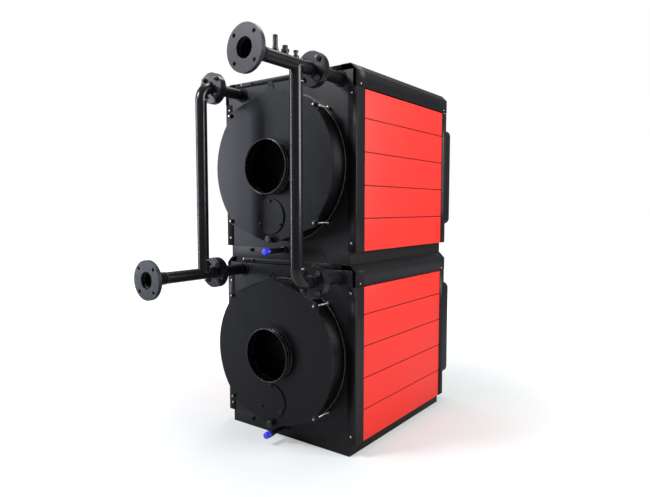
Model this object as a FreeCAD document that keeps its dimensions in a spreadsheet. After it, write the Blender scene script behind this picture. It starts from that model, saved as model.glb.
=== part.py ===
import FreeCAD, Part
import Sketcher
import os
import re

# Twin stacked boiler: two identical boiler modules one on top of the other,
# joined at the back by a flow header, a return header and two risers.
# Origin: middle of the base, on the floor. +Z up, -Y the flue side, +Y the
# door side, +X the side of the flow pipework. All lengths in millimetres.

doc = FreeCAD.newDocument("twin_boiler")

# ---------------------------------------------------------------- sizes
SIZES = {
    # casing of one module
    "casing_width": 920,
    "casing_depth": 1040,
    "casing_height": 900,
    "plinth_height": 66,
    "cover_chamfer": 34,
    "plinth_side_inset": 35,
    "plinth_end_inset": 3,
    "core_side_gap": 22,
    "core_end_gap": 12,
    "panel_thick": 20,
    "end_sheet_thick": 9,
    "cover_sheet": 2.5,
    "cover_band_drop": 78,
    "lid_side_gap": 60,
    "lid_end_gap": 40,
    "hem_drop": 27,
    "hem_left_gap": 75,
    "hem_right_gap": 90,
    # corner angles and side panels
    "angle_thick": 3,
    "angle_rear_leg": 49,
    "angle_rear_side_leg": 80,
    "angle_front_side_leg": 60,
    "angle_top_gap": 2,
    "panel_top_gap": 5,
    "panel_face_inset": 2,
    "panel_end_gap": 1,
    "strip_share": 0.2056,
    "groove_width": 5,
    "groove_deep": 4,
    # front door of one module
    "door_side_gap": 20,
    "door_height": 610,
    "door_thick": 115,
    "door_corner": 36,
    "door_drop": 16,
    # smoke box
    "flue_below_middle": 13,
    "plate_margin": 43,
    "drum_inset": 14,
    "drum_wall": 4,
    "drum_depth": 115,
    "drum_ring_inset": 7,
    "drum_ring_thick": 6,
    "plate_thick": 10,
    "flue_bore": 280,
    "flue_wall": 2,
    "flue_length": 46,
    "disc_share": 0.2354,
    "disc_gap": 23,
    "disc_lap": 19,
    "disc_thick": 6,
    "rod_across": 0.723,
    "rod_up": 0.714,
    "rod_radius": 6,
    "rod_hole_clear": 1,
    "rod_nut_radius": 11,
    "rod_nut_thick": 10,
    "rod_foot_radius": 8,
    "rod_foot_length": 20,
    "tab_hole_radius": 6,
    "tab_hole_up": 1.035,
    "knob_stem_radius": 5,
    "knob_stem_length": 12,
    "knob_radius": 21,
    "knob_length": 16,
    # condensate drain
    "drain_height": 56,
    "drain_across": -15,
    "drain_radius": 14,
    "drain_length": 138,
    "drain_collar_radius": 22,
    "drain_collar_thick": 8,
    "cap_radius": 19,
    "cap_length": 26,
    # pipework
    "flow_edge_gap": 100,
    "return_edge_gap": 132,
    "stub_below_casing_top": 34,
    "pipe_radius": 30.15,
    "pipe_wall": 2.9,
    "pipe_hole_clear": 6,
    "grommet_lap": 9.85,
    "grommet_thick": 8,
    "grommet_clear": 0.25,
    "hem_grommet_gap": 0.9,
    "stub_reach": 220,
    "flange_radius": 82.5,
    "flange_thick": 18,
    "flange_pitch_circle": 125,
    "flange_hole_radius": 9,
    "gasket_thick": 2,
    "gasket_radius": 53,
    "bolt_radius": 8,
    "bolt_head_corner": 13.8,
    "bolt_head_thick": 10,
    "bend_radius": 76,
    "flow_riser_ahead": 125,
    "return_riser_ahead": 85,
    "header_ahead": 450,
    "open_flange_radius": 100,
    "open_flange_thick": 20,
    "open_flange_pitch_circle": 160,
    "open_flange_bore": 88,
    "reducer_length": 90,
    "reducer_radius": 44.45,
    "reducer_wall": 3.2,
    # small fittings on the flow header
    "boss_radius": 15,
    "boss_rise": 6,
    "boss_root": 12,
    "nipple_ahead": 262,
    "nipple_radius": 11,
    "nipple_height": 60,
    "plug_ahead": 198,
    "plug_corner": 19,
    "plug_height": 30,
    "vent_height": 16,
    "vent_cap_radius": 12,
    "vent_cap_height": 8,
}

sheet = doc.addObject("Spreadsheet::Sheet", "Sizes")
for row, (alias, value) in enumerate(SIZES.items(), start=1):
    sheet.set("A%d" % row, alias)
    sheet.set("B%d" % row, str(value))
    sheet.setAlias("B%d" % row, alias)
doc.recompute()

# ------------------------------------------------------- lengths used often
HALF_WIDTH = "(casing_width / 2)"
HALF_DEPTH = "(casing_depth / 2)"
CASING_TOP = "(plinth_height + casing_height)"
MODULE_RISE = "(plinth_height + casing_height + cover_chamfer)"
END_FACE = "(casing_depth / 2 - plinth_end_inset)"
CORE_HALF_WIDTH = "(casing_width / 2 - core_side_gap)"
CORE_HALF_DEPTH = "(casing_depth / 2 - core_end_gap)"
PLATE_BACK = "(casing_depth / 2 - plinth_end_inset + drum_depth)"
PLATE_FACE = "(casing_depth / 2 - plinth_end_inset + drum_depth + plate_thick)"
PAIR_MIDDLE = "(casing_depth / 2 + stub_reach - plinth_end_inset)"
FLUE_HEIGHT = "(plinth_height + casing_height / 2 - flue_below_middle)"
PLATE_RADIUS = "(casing_height / 2 - plate_margin)"
DISC_RADIUS = "((casing_height / 2 - plate_margin) * disc_share)"
DISC_DROP = "(flue_bore / 2 + flue_wall + disc_gap + %s)" % DISC_RADIUS
STUB_HEIGHT = "(plinth_height + casing_height - stub_below_casing_top)"
FLOW_ACROSS = "(casing_width / 2 - flow_edge_gap)"
RETURN_ACROSS = "-(casing_width / 2 - return_edge_gap)"
STUB_SPOTS = (FLOW_ACROSS, RETURN_ACROSS)
DRUM_RADIUS = "(casing_height / 2 - plate_margin - drum_inset)"
BORE_RADIUS = "(pipe_radius - pipe_wall)"
HOLE_OFFSET = "(flange_pitch_circle / 2 * 0.70710678)"
OPEN_HOLE_OFFSET = "(open_flange_pitch_circle / 2 * 0.70710678)"

# ---------------------------------------------------------------- helpers
WORD = re.compile(r"[a-z][a-z_]*")
ORIGIN = ("0", "0", "0")
UPRIGHT = FreeCAD.Rotation()
TO_BACK = FreeCAD.Rotation(FreeCAD.Vector(1, 0, 0), 90)
TO_FRONT = FreeCAD.Rotation(FreeCAD.Vector(1, 0, 0), -90)
SEAM_ROLL = FreeCAD.Rotation(FreeCAD.Vector(0, 0, 1), 45)


def bound(text):
    """Put the sheet's name in front of each size named in an expression."""
    return WORD.sub(lambda m: "Sizes." + m.group(0) if m.group(0) in SIZES else m.group(0), text)


def bind(obj, **fields):
    for field, text in fields.items():
        obj.setExpression(field, bound(text))
    return obj


def place(obj, at, turn=UPRIGHT):
    """Stand a shape at a point given by three expressions."""
    obj.Placement = FreeCAD.Placement(FreeCAD.Vector(0, 0, 0), turn)
    for axis, text in zip("xyz", at):
        obj.setExpression("Placement.Base." + axis, bound(text))
    return obj


def box(low, size):
    obj = doc.addObject("Part::Box", "box")
    bind(obj, Length=size[0], Width=size[1], Height=size[2])
    return place(obj, low)


def rod(radius, length, at, turn=UPRIGHT):
    """Round bar. Its seam is rolled off the level and upright planes, where pipes cross."""
    obj = doc.addObject("Part::Cylinder", "rod")
    bind(obj, Radius=radius, Height=length)
    return place(obj, at, turn * SEAM_ROLL)


def cone(radius_start, radius_end, length, at, turn):
    obj = doc.addObject("Part::Cone", "cone")
    bind(obj, Radius1=radius_start, Radius2=radius_end, Height=length)
    return place(obj, at, turn)


def hexagon(corner, length, at, turn=UPRIGHT):
    obj = doc.addObject("Part::Prism", "hexagon")
    obj.Polygon = 6
    bind(obj, Circumradius=corner, Height=length)
    return place(obj, at, turn)


def quarter_bend(bend, radius, at, turn):
    obj = doc.addObject("Part::Torus", "bend")
    obj.Angle3 = 90
    bind(obj, Radius1=bend, Radius2=radius)
    return place(obj, at, turn)


def joined(shapes):
    obj = doc.addObject("Part::MultiFuse", "joined")
    obj.Shapes = shapes
    return obj


def less(base, tools):
    """The base with every tool cut out of it."""
    obj = doc.addObject("Part::Cut", "less")
    obj.Base = base
    obj.Tool = tools[0] if len(tools) == 1 else joined(tools)
    return obj


def gathered(shapes):
    """Several like pieces that do not touch, kept as one named node."""
    obj = doc.addObject("Part::Compound", "gathered")
    obj.Links = shapes
    return obj


NODES = []


def node(name, obj, at=ORIGIN):
    """Name a finished piece and stand it in the shared frame."""
    if obj.TypeId in ("Part::Box", "Part::Cylinder", "Part::Prism"):
        obj = gathered([obj])
    obj.Label = name
    for axis, text in zip("xyz", at):
        obj.setExpression("Placement.Base." + axis, bound(text))
    NODES.append(obj)
    return obj


# ---------------------------------------------------------------- casing
def plinth():
    """Closed base box, set in from the casing at the sides."""
    half = "(casing_width / 2 - plinth_side_inset)"
    return box(("-" + half, "-" + END_FACE, "0"), ("2 * " + half, "2 * " + END_FACE, "plinth_height"))


def body_core():
    """Closed insulated housing, with the narrower lid block that carries the cover."""
    low = box(
        ("-" + CORE_HALF_WIDTH, "-" + CORE_HALF_DEPTH, "plinth_height"),
        ("2 * " + CORE_HALF_WIDTH, "2 * " + CORE_HALF_DEPTH, "casing_height"),
    )
    lid_half = "(casing_width / 2 - lid_side_gap)"
    lid_end = "(casing_depth / 2 - lid_end_gap)"
    lid = box(
        ("-" + lid_half, "-" + lid_end, CASING_TOP),
        ("2 * " + lid_half, "2 * " + lid_end, "cover_chamfer - cover_sheet"),
    )
    return joined([low, lid])


def end_sheet(low_y):
    """Flat end sheet between the plinth and the cover's hem."""
    return box(
        ("-" + CORE_HALF_WIDTH, low_y, "plinth_height"),
        ("2 * " + CORE_HALF_WIDTH, "end_sheet_thick", "casing_height + cover_chamfer - hem_drop - 3"),
    )


def rear_panel():
    """Rear sheet, with a clearance hole round each pipe stub."""
    sheet_back = end_sheet("-" + END_FACE)
    hole = "(pipe_radius + pipe_hole_clear)"
    holes = []
    for across in STUB_SPOTS:
        holes.append(rod(hole, "end_sheet_thick", (across, "-" + CORE_HALF_DEPTH, STUB_HEIGHT), TO_BACK))
    return less(sheet_back, holes)


def cover_block(shrink):
    """Outline of the cover: straight sides, then a 45 degree chamfer to the flat top."""
    half = "(casing_width / 2 - %s)" % shrink
    low = "(plinth_height + casing_height - cover_band_drop)"
    sides = box(("-" + half, "-" + HALF_DEPTH, low), ("2 * " + half, "casing_depth", "cover_band_drop"))
    top = doc.addObject("Part::Wedge", "chamfered")
    bind(top, Xmin="-" + half, Xmax=half, Ymin="0", Ymax="cover_chamfer - %s" % shrink)
    bind(top, Zmin="0", Zmax="casing_depth", Z2min="0", Z2max="casing_depth")
    bind(top, X2min="-(casing_width / 2 - cover_chamfer)", X2max="casing_width / 2 - cover_chamfer")
    place(top, ("0", HALF_DEPTH, CASING_TOP), TO_BACK)
    return joined([sides, top])


def top_cover():
    """Folded cover sheet: side bands, chamfers, flat top, hems at both ends."""
    shell = less(cover_block("0"), [cover_block("cover_sheet")])
    hem_low = "(plinth_height + casing_height + cover_chamfer - hem_drop)"
    rear_hem = box(
        ("hem_left_gap - casing_width / 2", "-" + HALF_DEPTH, hem_low),
        ("casing_width - hem_left_gap - hem_right_gap", "cover_sheet", "hem_drop"),
    )
    # room for the pipe grommets, where they reach up into the hem
    notch = "pipe_radius + grommet_lap + hem_grommet_gap"
    rear_hem = less(rear_hem, [rod(notch, "plinth_end_inset", (x, "-" + END_FACE, STUB_HEIGHT), TO_BACK) for x in STUB_SPOTS])
    front_hem = box(
        ("hem_left_gap - casing_width / 2", "casing_depth / 2 - cover_sheet", hem_low),
        ("casing_width - 2 * hem_left_gap", "cover_sheet", "hem_drop"),
    )
    return joined([shell, rear_hem, front_hem])


def corner_angle(side, end):
    """L-shaped corner strip; side and end are the signs of its X and Y corner."""
    height = "(casing_height - cover_band_drop - angle_top_gap)"
    side_leg = "angle_front_side_leg" if end > 0 else "angle_rear_side_leg"
    x_face = HALF_WIDTH if side > 0 else "-" + HALF_WIDTH
    y_face = HALF_DEPTH if end > 0 else "-" + HALF_DEPTH
    x_low = x_face + (" - angle_rear_leg" if side > 0 else "")
    y_low = y_face + (" - angle_thick" if end > 0 else "")
    end_leg = box((x_low, y_low, "plinth_height"), ("angle_rear_leg", "angle_thick", height))
    x_low = x_face + (" - angle_thick" if side > 0 else "")
    y_low = y_face + (" - " + side_leg if end > 0 else "")
    along = box((x_low, y_low, "plinth_height"), ("angle_thick", side_leg, height))
    return joined([end_leg, along])


def corner_angles():
    return gathered([corner_angle(side, end) for side in (1, -1) for end in (1, -1)])


def side_panel(side):
    """Coloured side panel: five level strips parted by four shallow grooves."""
    low_x = CORE_HALF_WIDTH if side > 0 else "-(casing_width / 2 - panel_face_inset)"
    low_y = "(-casing_depth / 2 + angle_rear_side_leg + panel_end_gap)"
    length = "(casing_depth - angle_rear_side_leg - angle_front_side_leg - 2 * panel_end_gap)"
    thick = "(core_side_gap - panel_face_inset)"
    height = "(casing_height - cover_band_drop - panel_top_gap)"
    slab = box((low_x, low_y, "plinth_height"), (thick, length, height))
    face = "(casing_width / 2 - panel_face_inset)"
    groove_x = face + " - groove_deep" if side > 0 else "-" + face
    grooves = []
    for number in range(1, 5):
        low_z = "plinth_height + %d * strip_share * %s - groove_width / 2" % (number, height)
        grooves.append(box((groove_x, low_y, low_z), ("groove_deep", length, "groove_width")))
    return less(slab, grooves)


def front_door():
    """Proud door on the +Y side, its four corners rounded."""
    middle = "(%s - door_height / 2 - door_drop)" % FLUE_HEIGHT
    half = "(casing_width / 2 - door_side_gap)"
    upright = box(
        ("-" + half + " + door_corner", HALF_DEPTH, middle),
        ("2 * " + half + " - 2 * door_corner", "door_thick", "door_height"),
    )
    level = box(
        ("-" + half, HALF_DEPTH, middle + " + door_corner"),
        ("2 * " + half, "door_thick", "door_height - 2 * door_corner"),
    )
    corners = []
    for sign in ("", "-"):
        for rise in (" + door_corner", " + door_height - door_corner"):
            at = (sign + "(" + half + " - door_corner)", HALF_DEPTH, middle + rise)
            corners.append(rod("door_corner", "door_thick", at, TO_FRONT))
    return joined([upright, level] + corners)


# ---------------------------------------------------------------- smoke box
def smoke_box():
    """Short drum between the rear panel and the cover plate, with a foot ring."""
    at = ("0", "-" + END_FACE, FLUE_HEIGHT)
    shell = rod(DRUM_RADIUS, "drum_depth", at, TO_BACK)
    ring = rod(PLATE_RADIUS + " - drum_ring_inset", "drum_ring_thick", at, TO_BACK)
    hollow = rod(DRUM_RADIUS + " - drum_wall", "drum_depth", at, TO_BACK)
    return less(joined([shell, ring]), [hollow])


# Outline of the cover plate as shares of its radius, going round clockwise
# from the left foot of the lifting tab. "side" marks the two round sides.
PLATE_CORNERS = [
    (-0.070, 0.978),
    (-0.026, 1.087),
    (0.026, 1.087),
    (0.070, 0.978),
    (0.738, 0.755),
    (0.767, 0.726),
    ("side", 0.640),
    ("side", -0.640),
    (0.767, -0.726),
    (0.738, -0.755),
    (0.048, -0.985),
    (-0.048, -0.985),
    (-0.738, -0.755),
    (-0.767, -0.726),
    ("-side", -0.640),
    ("-side", 0.640),
    (-0.767, 0.726),
    (-0.738, 0.755),
]


def plate_outline(name):
    """Flat plate with straight top and bottom slopes and two round sides."""
    body = doc.addObject("PartDesign::Body", name + "_body")
    sketch = body.newObject("Sketcher::SketchObject", name + "_outline")
    plane = [f for f in body.Origin.OriginFeatures if f.Role == "XZ_Plane"][0]
    sketch.AttachmentSupport = [(plane, "")]
    sketch.MapMode = "FlatFace"
    radius = SIZES["casing_height"] / 2 - SIZES["plate_margin"]
    points = []
    for across, up in PLATE_CORNERS:
        if isinstance(across, str):
            reach = (1 - up * up) ** 0.5
            across = reach if across == "side" else -reach
        points.append(FreeCAD.Vector(across * radius, up * radius, 0))
    count = len(points)
    for index in range(count):
        start = points[index]
        end = points[(index + 1) % count]
        name_here = PLATE_CORNERS[index][0]
        name_next = PLATE_CORNERS[(index + 1) % count][0]
        if isinstance(name_here, str) and name_here == name_next:
            swell = FreeCAD.Vector(radius if name_here == "side" else -radius, 0, 0)
            arc = Part.Arc(start, swell, end)
            sketch.addGeometry(arc)
        else:
            sketch.addGeometry(Part.LineSegment(start, end))
    add_plate_rules(sketch, points)
    pad = body.newObject("PartDesign::Pad", name + "_pad")
    pad.Profile = sketch
    bind(pad, Length="plate_thick")
    return body


def arc_ends(sketch, index, start):
    """Which end of an arc is the one it was drawn from (arcs are kept anticlockwise)."""
    first = sketch.getPoint(index, 1)
    return (1, 2) if (first - start).Length < 1e-6 else (2, 1)


def add_plate_rules(sketch, points):
    """Tie every corner of the outline to the plate radius."""
    count = len(points)
    ends = []
    for index in range(count):
        ends.append(arc_ends(sketch, index, points[index]))
    for index in range(count):
        after = (index + 1) % count
        sketch.addConstraint(Sketcher.Constraint("Coincident", index, ends[index][1], after, ends[after][0]))
    for index, (across, up) in enumerate(PLATE_CORNERS):
        point = points[index]
        if not isinstance(across, str):
            rule = Sketcher.Constraint("DistanceX", -1, 1, index, ends[index][0], point.x)
            number = sketch.addConstraint(rule)
            sketch.setExpression("Constraints[%d]" % number, bound("%s * %s" % (PLATE_RADIUS, across)))
        rule = Sketcher.Constraint("DistanceY", -1, 1, index, ends[index][0], point.y)
        number = sketch.addConstraint(rule)
        sketch.setExpression("Constraints[%d]" % number, bound("%s * %s" % (PLATE_RADIUS, up)))
    for index in range(count):
        if isinstance(sketch.Geometry[index], Part.ArcOfCircle):
            sketch.addConstraint(Sketcher.Constraint("Coincident", index, 3, -1, 1))
            number = sketch.addConstraint(Sketcher.Constraint("Radius", index, points[index].Length))
            sketch.setExpression("Constraints[%d]" % number, bound(PLATE_RADIUS))


ROD_SPOTS = [(across, up) for across in ("", "-") for up in (" + ", " - ")]


def rod_spot(across, up, y):
    """Centre of one tie rod, in a corner of the cover plate."""
    return (across + PLATE_RADIUS + " * rod_across", y, FLUE_HEIGHT + up + PLATE_RADIUS + " * rod_up")


def cover_plate(name):
    """Cover plate with its flue hole, hatch hole, tie-rod holes and lifting-tab hole."""
    blank = plate_outline(name)
    at = ("0", "-" + PLATE_BACK, FLUE_HEIGHT)
    place(blank, at)
    tools = [rod("flue_bore / 2", "plate_thick", at, TO_BACK)]
    low = ("0", "-" + PLATE_BACK, FLUE_HEIGHT + " - " + DISC_DROP)
    tools.append(rod(DISC_RADIUS + " - disc_lap", "plate_thick", low, TO_BACK))
    tab = ("0", "-" + PLATE_BACK, FLUE_HEIGHT + " + tab_hole_up * " + PLATE_RADIUS)
    tools.append(rod("tab_hole_radius", "plate_thick", tab, TO_BACK))
    for across, up in ROD_SPOTS:
        spot = rod_spot(across, up, "-" + PLATE_BACK)
        tools.append(rod("rod_radius + rod_hole_clear", "plate_thick", spot, TO_BACK))
    return less(blank, tools)


def flue_collar():
    """Thin round collar on the cover plate for the flue pipe."""
    at = ("0", "-" + PLATE_FACE, FLUE_HEIGHT)
    outer = rod("flue_bore / 2 + flue_wall", "flue_length", at, TO_BACK)
    return less(outer, [rod("flue_bore / 2", "flue_length", at, TO_BACK)])


def inspection_cover():
    """Round cover over the hatch below the flue."""
    at = ("0", "-" + PLATE_FACE, FLUE_HEIGHT + " - " + DISC_DROP)
    return rod(DISC_RADIUS, "disc_thick", at, TO_BACK)


def hand_knob():
    """Grip knob on a short stem, between the hatch and the foot of the plate."""
    height = "%s - (%s + %s + %s) / 2" % (FLUE_HEIGHT, DISC_DROP, DISC_RADIUS, PLATE_RADIUS)
    stem = rod("knob_stem_radius", "knob_stem_length", ("0", "-" + PLATE_FACE, height), TO_BACK)
    ahead_of_stem = "-(%s + knob_stem_length)" % PLATE_FACE
    grip = rod("knob_radius", "knob_length", ("0", ahead_of_stem, height), TO_BACK)
    return joined([stem, grip])


def tie_rod(across, up):
    """Rod from a foot on the rear panel, through the plate, to a nut on its face."""
    foot = rod("rod_foot_radius", "rod_foot_length", rod_spot(across, up, "-" + END_FACE), TO_BACK)
    length = "drum_depth + plate_thick + rod_nut_thick"
    shank = rod("rod_radius", length, rod_spot(across, up, "-" + END_FACE), TO_BACK)
    nut = hexagon("rod_nut_radius", "rod_nut_thick", rod_spot(across, up, "-" + PLATE_FACE), TO_BACK)
    return joined([foot, shank, nut])


def tie_rods():
    return gathered([tie_rod(across, up) for across, up in ROD_SPOTS])


def drain_pipe():
    """Condensate drain under the smoke box, with a collar at the casing."""
    at = ("drain_across", "-" + END_FACE, "drain_height")
    pipe = rod("drain_radius", "drain_length", at, TO_BACK)
    collar = rod("drain_collar_radius", "drain_collar_thick", at, TO_BACK)
    return joined([pipe, collar])


def drain_cap():
    """Plastic push-on cap that closes the drain."""
    at = ("drain_across", "-(casing_depth / 2 - plinth_end_inset + drain_length)", "drain_height")
    return rod("cap_radius", "cap_length", at, TO_BACK)


def pipe_grommets():
    """Rings that close the rear panel round the two pipe stubs."""
    rings = []
    for across in STUB_SPOTS:
        at = (across, "-" + END_FACE, STUB_HEIGHT)
        outer = rod("pipe_radius + grommet_lap", "grommet_thick", at, TO_BACK)
        rings.append(less(outer, [rod("pipe_radius + grommet_clear", "grommet_thick", at, TO_BACK)]))
    return gathered(rings)


MODULES = {"lower": "0", "upper": MODULE_RISE}
for level, rise in MODULES.items():
    floor = ("0", "0", rise)
    node(level + "_plinth", plinth(), floor)
    node(level + "_body_core", body_core(), floor)
    node(level + "_rear_panel", rear_panel(), floor)
    node(level + "_front_panel", end_sheet(CORE_HALF_DEPTH), floor)
    node(level + "_top_cover", top_cover(), floor)
    node(level + "_corner_angles", corner_angles(), floor)
    node(level + "_side_panel_right", side_panel(1), floor)
    node(level + "_side_panel_left", side_panel(-1), floor)
    node(level + "_front_door", front_door(), floor)
    node(level + "_smoke_box", smoke_box(), floor)
    node(level + "_cover_plate", cover_plate(level + "_plate"), floor)
    node(level + "_flue_collar", flue_collar(), floor)
    node(level + "_inspection_cover", inspection_cover(), floor)
    node(level + "_hand_knob", hand_knob(), floor)
    node(level + "_tie_rods", tie_rods(), floor)
    node(level + "_drain_pipe", drain_pipe(), floor)
    node(level + "_drain_cap", drain_cap(), floor)
    node(level + "_pipe_grommets", pipe_grommets(), floor)


# ---------------------------------------------------------------- pipework
# Every pipe is drawn about its own axis: x = 0 and z = 0 on the axis of the
# stub it belongs to, y in the shared frame. Its node stands it in place.
PAIR_REAR = "-(%s + gasket_thick / 2)" % PAIR_MIDDLE
PAIR_FRONT = "-(%s - gasket_thick / 2)" % PAIR_MIDDLE


def ahead(distance):
    """Y of a point on a header, counted outwards from the middle of its flange pair."""
    return "-(%s + %s)" % (PAIR_MIDDLE, distance)


FLOW_RISER_Y = ahead("flow_riser_ahead")
RETURN_RISER_Y = ahead("return_riser_ahead")
HEADER_Y = ahead("header_ahead")


def flange_holes(radius, length, y, offset):
    """Four holes on the slant round the axis, all along Y."""
    return [rod(radius, length, (a + offset, y, b + offset), TO_BACK) for a in ("", "-") for b in ("", "-")]


def pipe_stub():
    """Pipe out of the housing with the fixed flange of a pair at its end."""
    start = "-" + CORE_HALF_DEPTH
    length = "(%s - gasket_thick / 2 - %s)" % (PAIR_MIDDLE, CORE_HALF_DEPTH)
    flange_y = "%s + flange_thick" % PAIR_FRONT
    pipe = rod("pipe_radius", length, ("0", start, "0"), TO_BACK)
    flange = rod("flange_radius", "flange_thick", ("0", flange_y, "0"), TO_BACK)
    tools = [rod(BORE_RADIUS, length, ("0", start, "0"), TO_BACK)]
    tools += flange_holes("flange_hole_radius", "flange_thick", flange_y, HOLE_OFFSET)
    return less(joined([pipe, flange]), tools)


def pair_flange():
    """Loose side of a flange pair, pressed on the gasket from the pipe side."""
    return rod("flange_radius", "flange_thick", ("0", PAIR_REAR, "0"), TO_BACK)


def header(riser_y, toward, bosses):
    """Straight header: pair flange, tee and reducer; toward is + for a tee up, - for down."""
    length = "(-(%s) + %s - open_flange_thick - reducer_length)" % (HEADER_Y, PAIR_REAR)
    cone_y = "%s + open_flange_thick + reducer_length" % HEADER_Y
    branch_low = "0" if toward == "+" else "-bend_radius"
    solid = [rod("pipe_radius", length, ("0", PAIR_REAR, "0"), TO_BACK), pair_flange()]
    solid.append(cone("pipe_radius", "reducer_radius", "reducer_length", ("0", cone_y, "0"), TO_BACK))
    solid.append(rod("pipe_radius", "bend_radius", ("0", riser_y, branch_low)))
    solid += bosses
    hollow = [rod(BORE_RADIUS, length, ("0", PAIR_REAR, "0"), TO_BACK)]
    wide = "reducer_radius - reducer_wall"
    hollow.append(cone(BORE_RADIUS, wide, "reducer_length", ("0", cone_y, "0"), TO_BACK))
    hollow.append(rod(BORE_RADIUS, "bend_radius", ("0", riser_y, branch_low)))
    hollow += flange_holes("flange_hole_radius", "flange_thick", PAIR_REAR, HOLE_OFFSET)
    return less(joined(solid), hollow)


def open_flange():
    """Free flange on the wide end of the reducer."""
    flange_y = "%s + open_flange_thick" % HEADER_Y
    disc = rod("open_flange_radius", "open_flange_thick", ("0", flange_y, "0"), TO_BACK)
    tools = [rod("open_flange_bore / 2", "open_flange_thick", ("0", flange_y, "0"), TO_BACK)]
    tools += flange_holes("flange_hole_radius", "open_flange_thick", flange_y, OPEN_HOLE_OFFSET)
    return less(disc, tools)


FITTINGS = ("nipple_ahead", "plug_ahead", "flow_riser_ahead")


def bosses():
    """Low weld-on bosses on top of the flow header, one under each fitting."""
    height = "pipe_radius + boss_rise - boss_root"
    return [rod("boss_radius", height, ("0", ahead(distance), "boss_root")) for distance in FITTINGS]


def riser(riser_y, bend_above):
    """Vertical pipe with a quarter bend and the pair flange at the end of the bend."""
    span = "(%s - 2 * bend_radius)" % MODULE_RISE
    if bend_above:
        bend_z = "-bend_radius"
        low_z = "bend_radius - " + MODULE_RISE
        turn = FreeCAD.Rotation(
            FreeCAD.Vector(0, 0, 1), FreeCAD.Vector(0, -1, 0), FreeCAD.Vector(1, 0, 0), "XYZ"
        )
    else:
        bend_z = "bend_radius"
        low_z = "bend_radius"
        turn = FreeCAD.Rotation(
            FreeCAD.Vector(0, -1, 0), FreeCAD.Vector(0, 0, -1), FreeCAD.Vector(1, 0, 0), "XYZ"
        )
    bend_y = riser_y + " + bend_radius"
    tail = "(%s - (%s) - bend_radius)" % (PAIR_REAR, riser_y)
    solid = [rod("pipe_radius", span, ("0", riser_y, low_z))]
    solid.append(quarter_bend("bend_radius", "pipe_radius", ("0", bend_y, bend_z), turn))
    solid.append(rod("pipe_radius", tail, ("0", PAIR_REAR, "0"), TO_BACK))
    solid.append(pair_flange())
    hollow = [rod(BORE_RADIUS, span, ("0", riser_y, low_z))]
    hollow.append(quarter_bend("bend_radius", BORE_RADIUS, ("0", bend_y, bend_z), turn))
    hollow.append(rod(BORE_RADIUS, tail, ("0", PAIR_REAR, "0"), TO_BACK))
    hollow += flange_holes("flange_hole_radius", "flange_thick", PAIR_REAR, HOLE_OFFSET)
    return less(joined(solid), hollow)


def pair_points():
    """Axis of each flange pair: flow and return, lower and upper."""
    return [(across, STUB_HEIGHT + " + " + rise) for across in STUB_SPOTS for rise in MODULES.values()]


def gasket(across, up):
    outer = rod("gasket_radius", "gasket_thick", (across, PAIR_FRONT, up), TO_BACK)
    return less(outer, [rod(BORE_RADIUS, "gasket_thick", (across, PAIR_FRONT, up), TO_BACK)])


def flange_bolt(across, up):
    """Bolt through one pair: head on the pipe side, nut on the housing side."""
    grip = "(2 * flange_thick + gasket_thick)"
    rear = "-(%s + gasket_thick / 2 + flange_thick)" % PAIR_MIDDLE
    front = "-(%s - gasket_thick / 2 - flange_thick)" % PAIR_MIDDLE
    shank = rod("bolt_radius", grip, (across, front, up), TO_BACK)
    head = hexagon("bolt_head_corner", "bolt_head_thick", (across, rear, up), TO_BACK)
    nut = hexagon("bolt_head_corner", "bolt_head_thick", (across, front, up), TO_FRONT)
    return joined([shank, head, nut])


def flange_bolts():
    """Four bolts round each of the four flange pairs."""
    bolts = []
    for across, up in pair_points():
        for a in (" + ", " - "):
            for b in (" + ", " - "):
                bolts.append(flange_bolt(across + a + HOLE_OFFSET, up + b + HOLE_OFFSET))
    return gathered(bolts)


for level, rise in MODULES.items():
    axis_height = STUB_HEIGHT + " + " + rise
    node(level + "_flow_stub", pipe_stub(), (FLOW_ACROSS, "0", axis_height))
    node(level + "_return_stub", pipe_stub(), (RETURN_ACROSS, "0", axis_height))

UPPER_AXIS = STUB_HEIGHT + " + " + MODULE_RISE
FITTING_FOOT = "pipe_radius + boss_rise + " + UPPER_AXIS
node("flow_header", header(FLOW_RISER_Y, "-", bosses()), (FLOW_ACROSS, "0", UPPER_AXIS))
node("return_header", header(RETURN_RISER_Y, "+", []), (RETURN_ACROSS, "0", STUB_HEIGHT))
node("flow_open_flange", open_flange(), (FLOW_ACROSS, "0", UPPER_AXIS))
node("return_open_flange", open_flange(), (RETURN_ACROSS, "0", STUB_HEIGHT))
node("flow_riser", riser(FLOW_RISER_Y, False), (FLOW_ACROSS, "0", STUB_HEIGHT))
node("return_riser", riser(RETURN_RISER_Y, True), (RETURN_ACROSS, "0", UPPER_AXIS))
node("pair_gaskets", gathered([gasket(across, up) for across, up in pair_points()]))
node("flange_bolts", flange_bolts())



def header_fittings():
    """Sensor nipple, hexagon plug and capped vent, each standing on its boss."""
    nipple = rod("nipple_radius", "nipple_height", ("0", ahead("nipple_ahead"), "0"))
    plug = hexagon("plug_corner", "plug_height", ("0", ahead("plug_ahead"), "0"))
    vent = rod("nipple_radius", "vent_height", ("0", FLOW_RISER_Y, "0"))
    vent_cap = rod("vent_cap_radius", "vent_cap_height", ("0", FLOW_RISER_Y, "vent_height"))
    return gathered([nipple, plug, joined([vent, vent_cap])])


node("header_fittings", header_fittings(), (FLOW_ACROSS, "0", FITTING_FOOT))

# ---------------------------------------------------------------- checks and export
doc.recompute()
problems = []
for obj in doc.Objects:
    if "Invalid" in obj.State or "Error" in obj.State:
        problems.append(obj.Name + " " + " ".join(obj.State))
for obj in NODES:
    if obj.Shape.isNull() or not obj.Shape.isValid() or not obj.Shape.Solids:
        problems.append(obj.Label + " has no valid solid")
if problems:
    raise RuntimeError("; ".join(problems))

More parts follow.
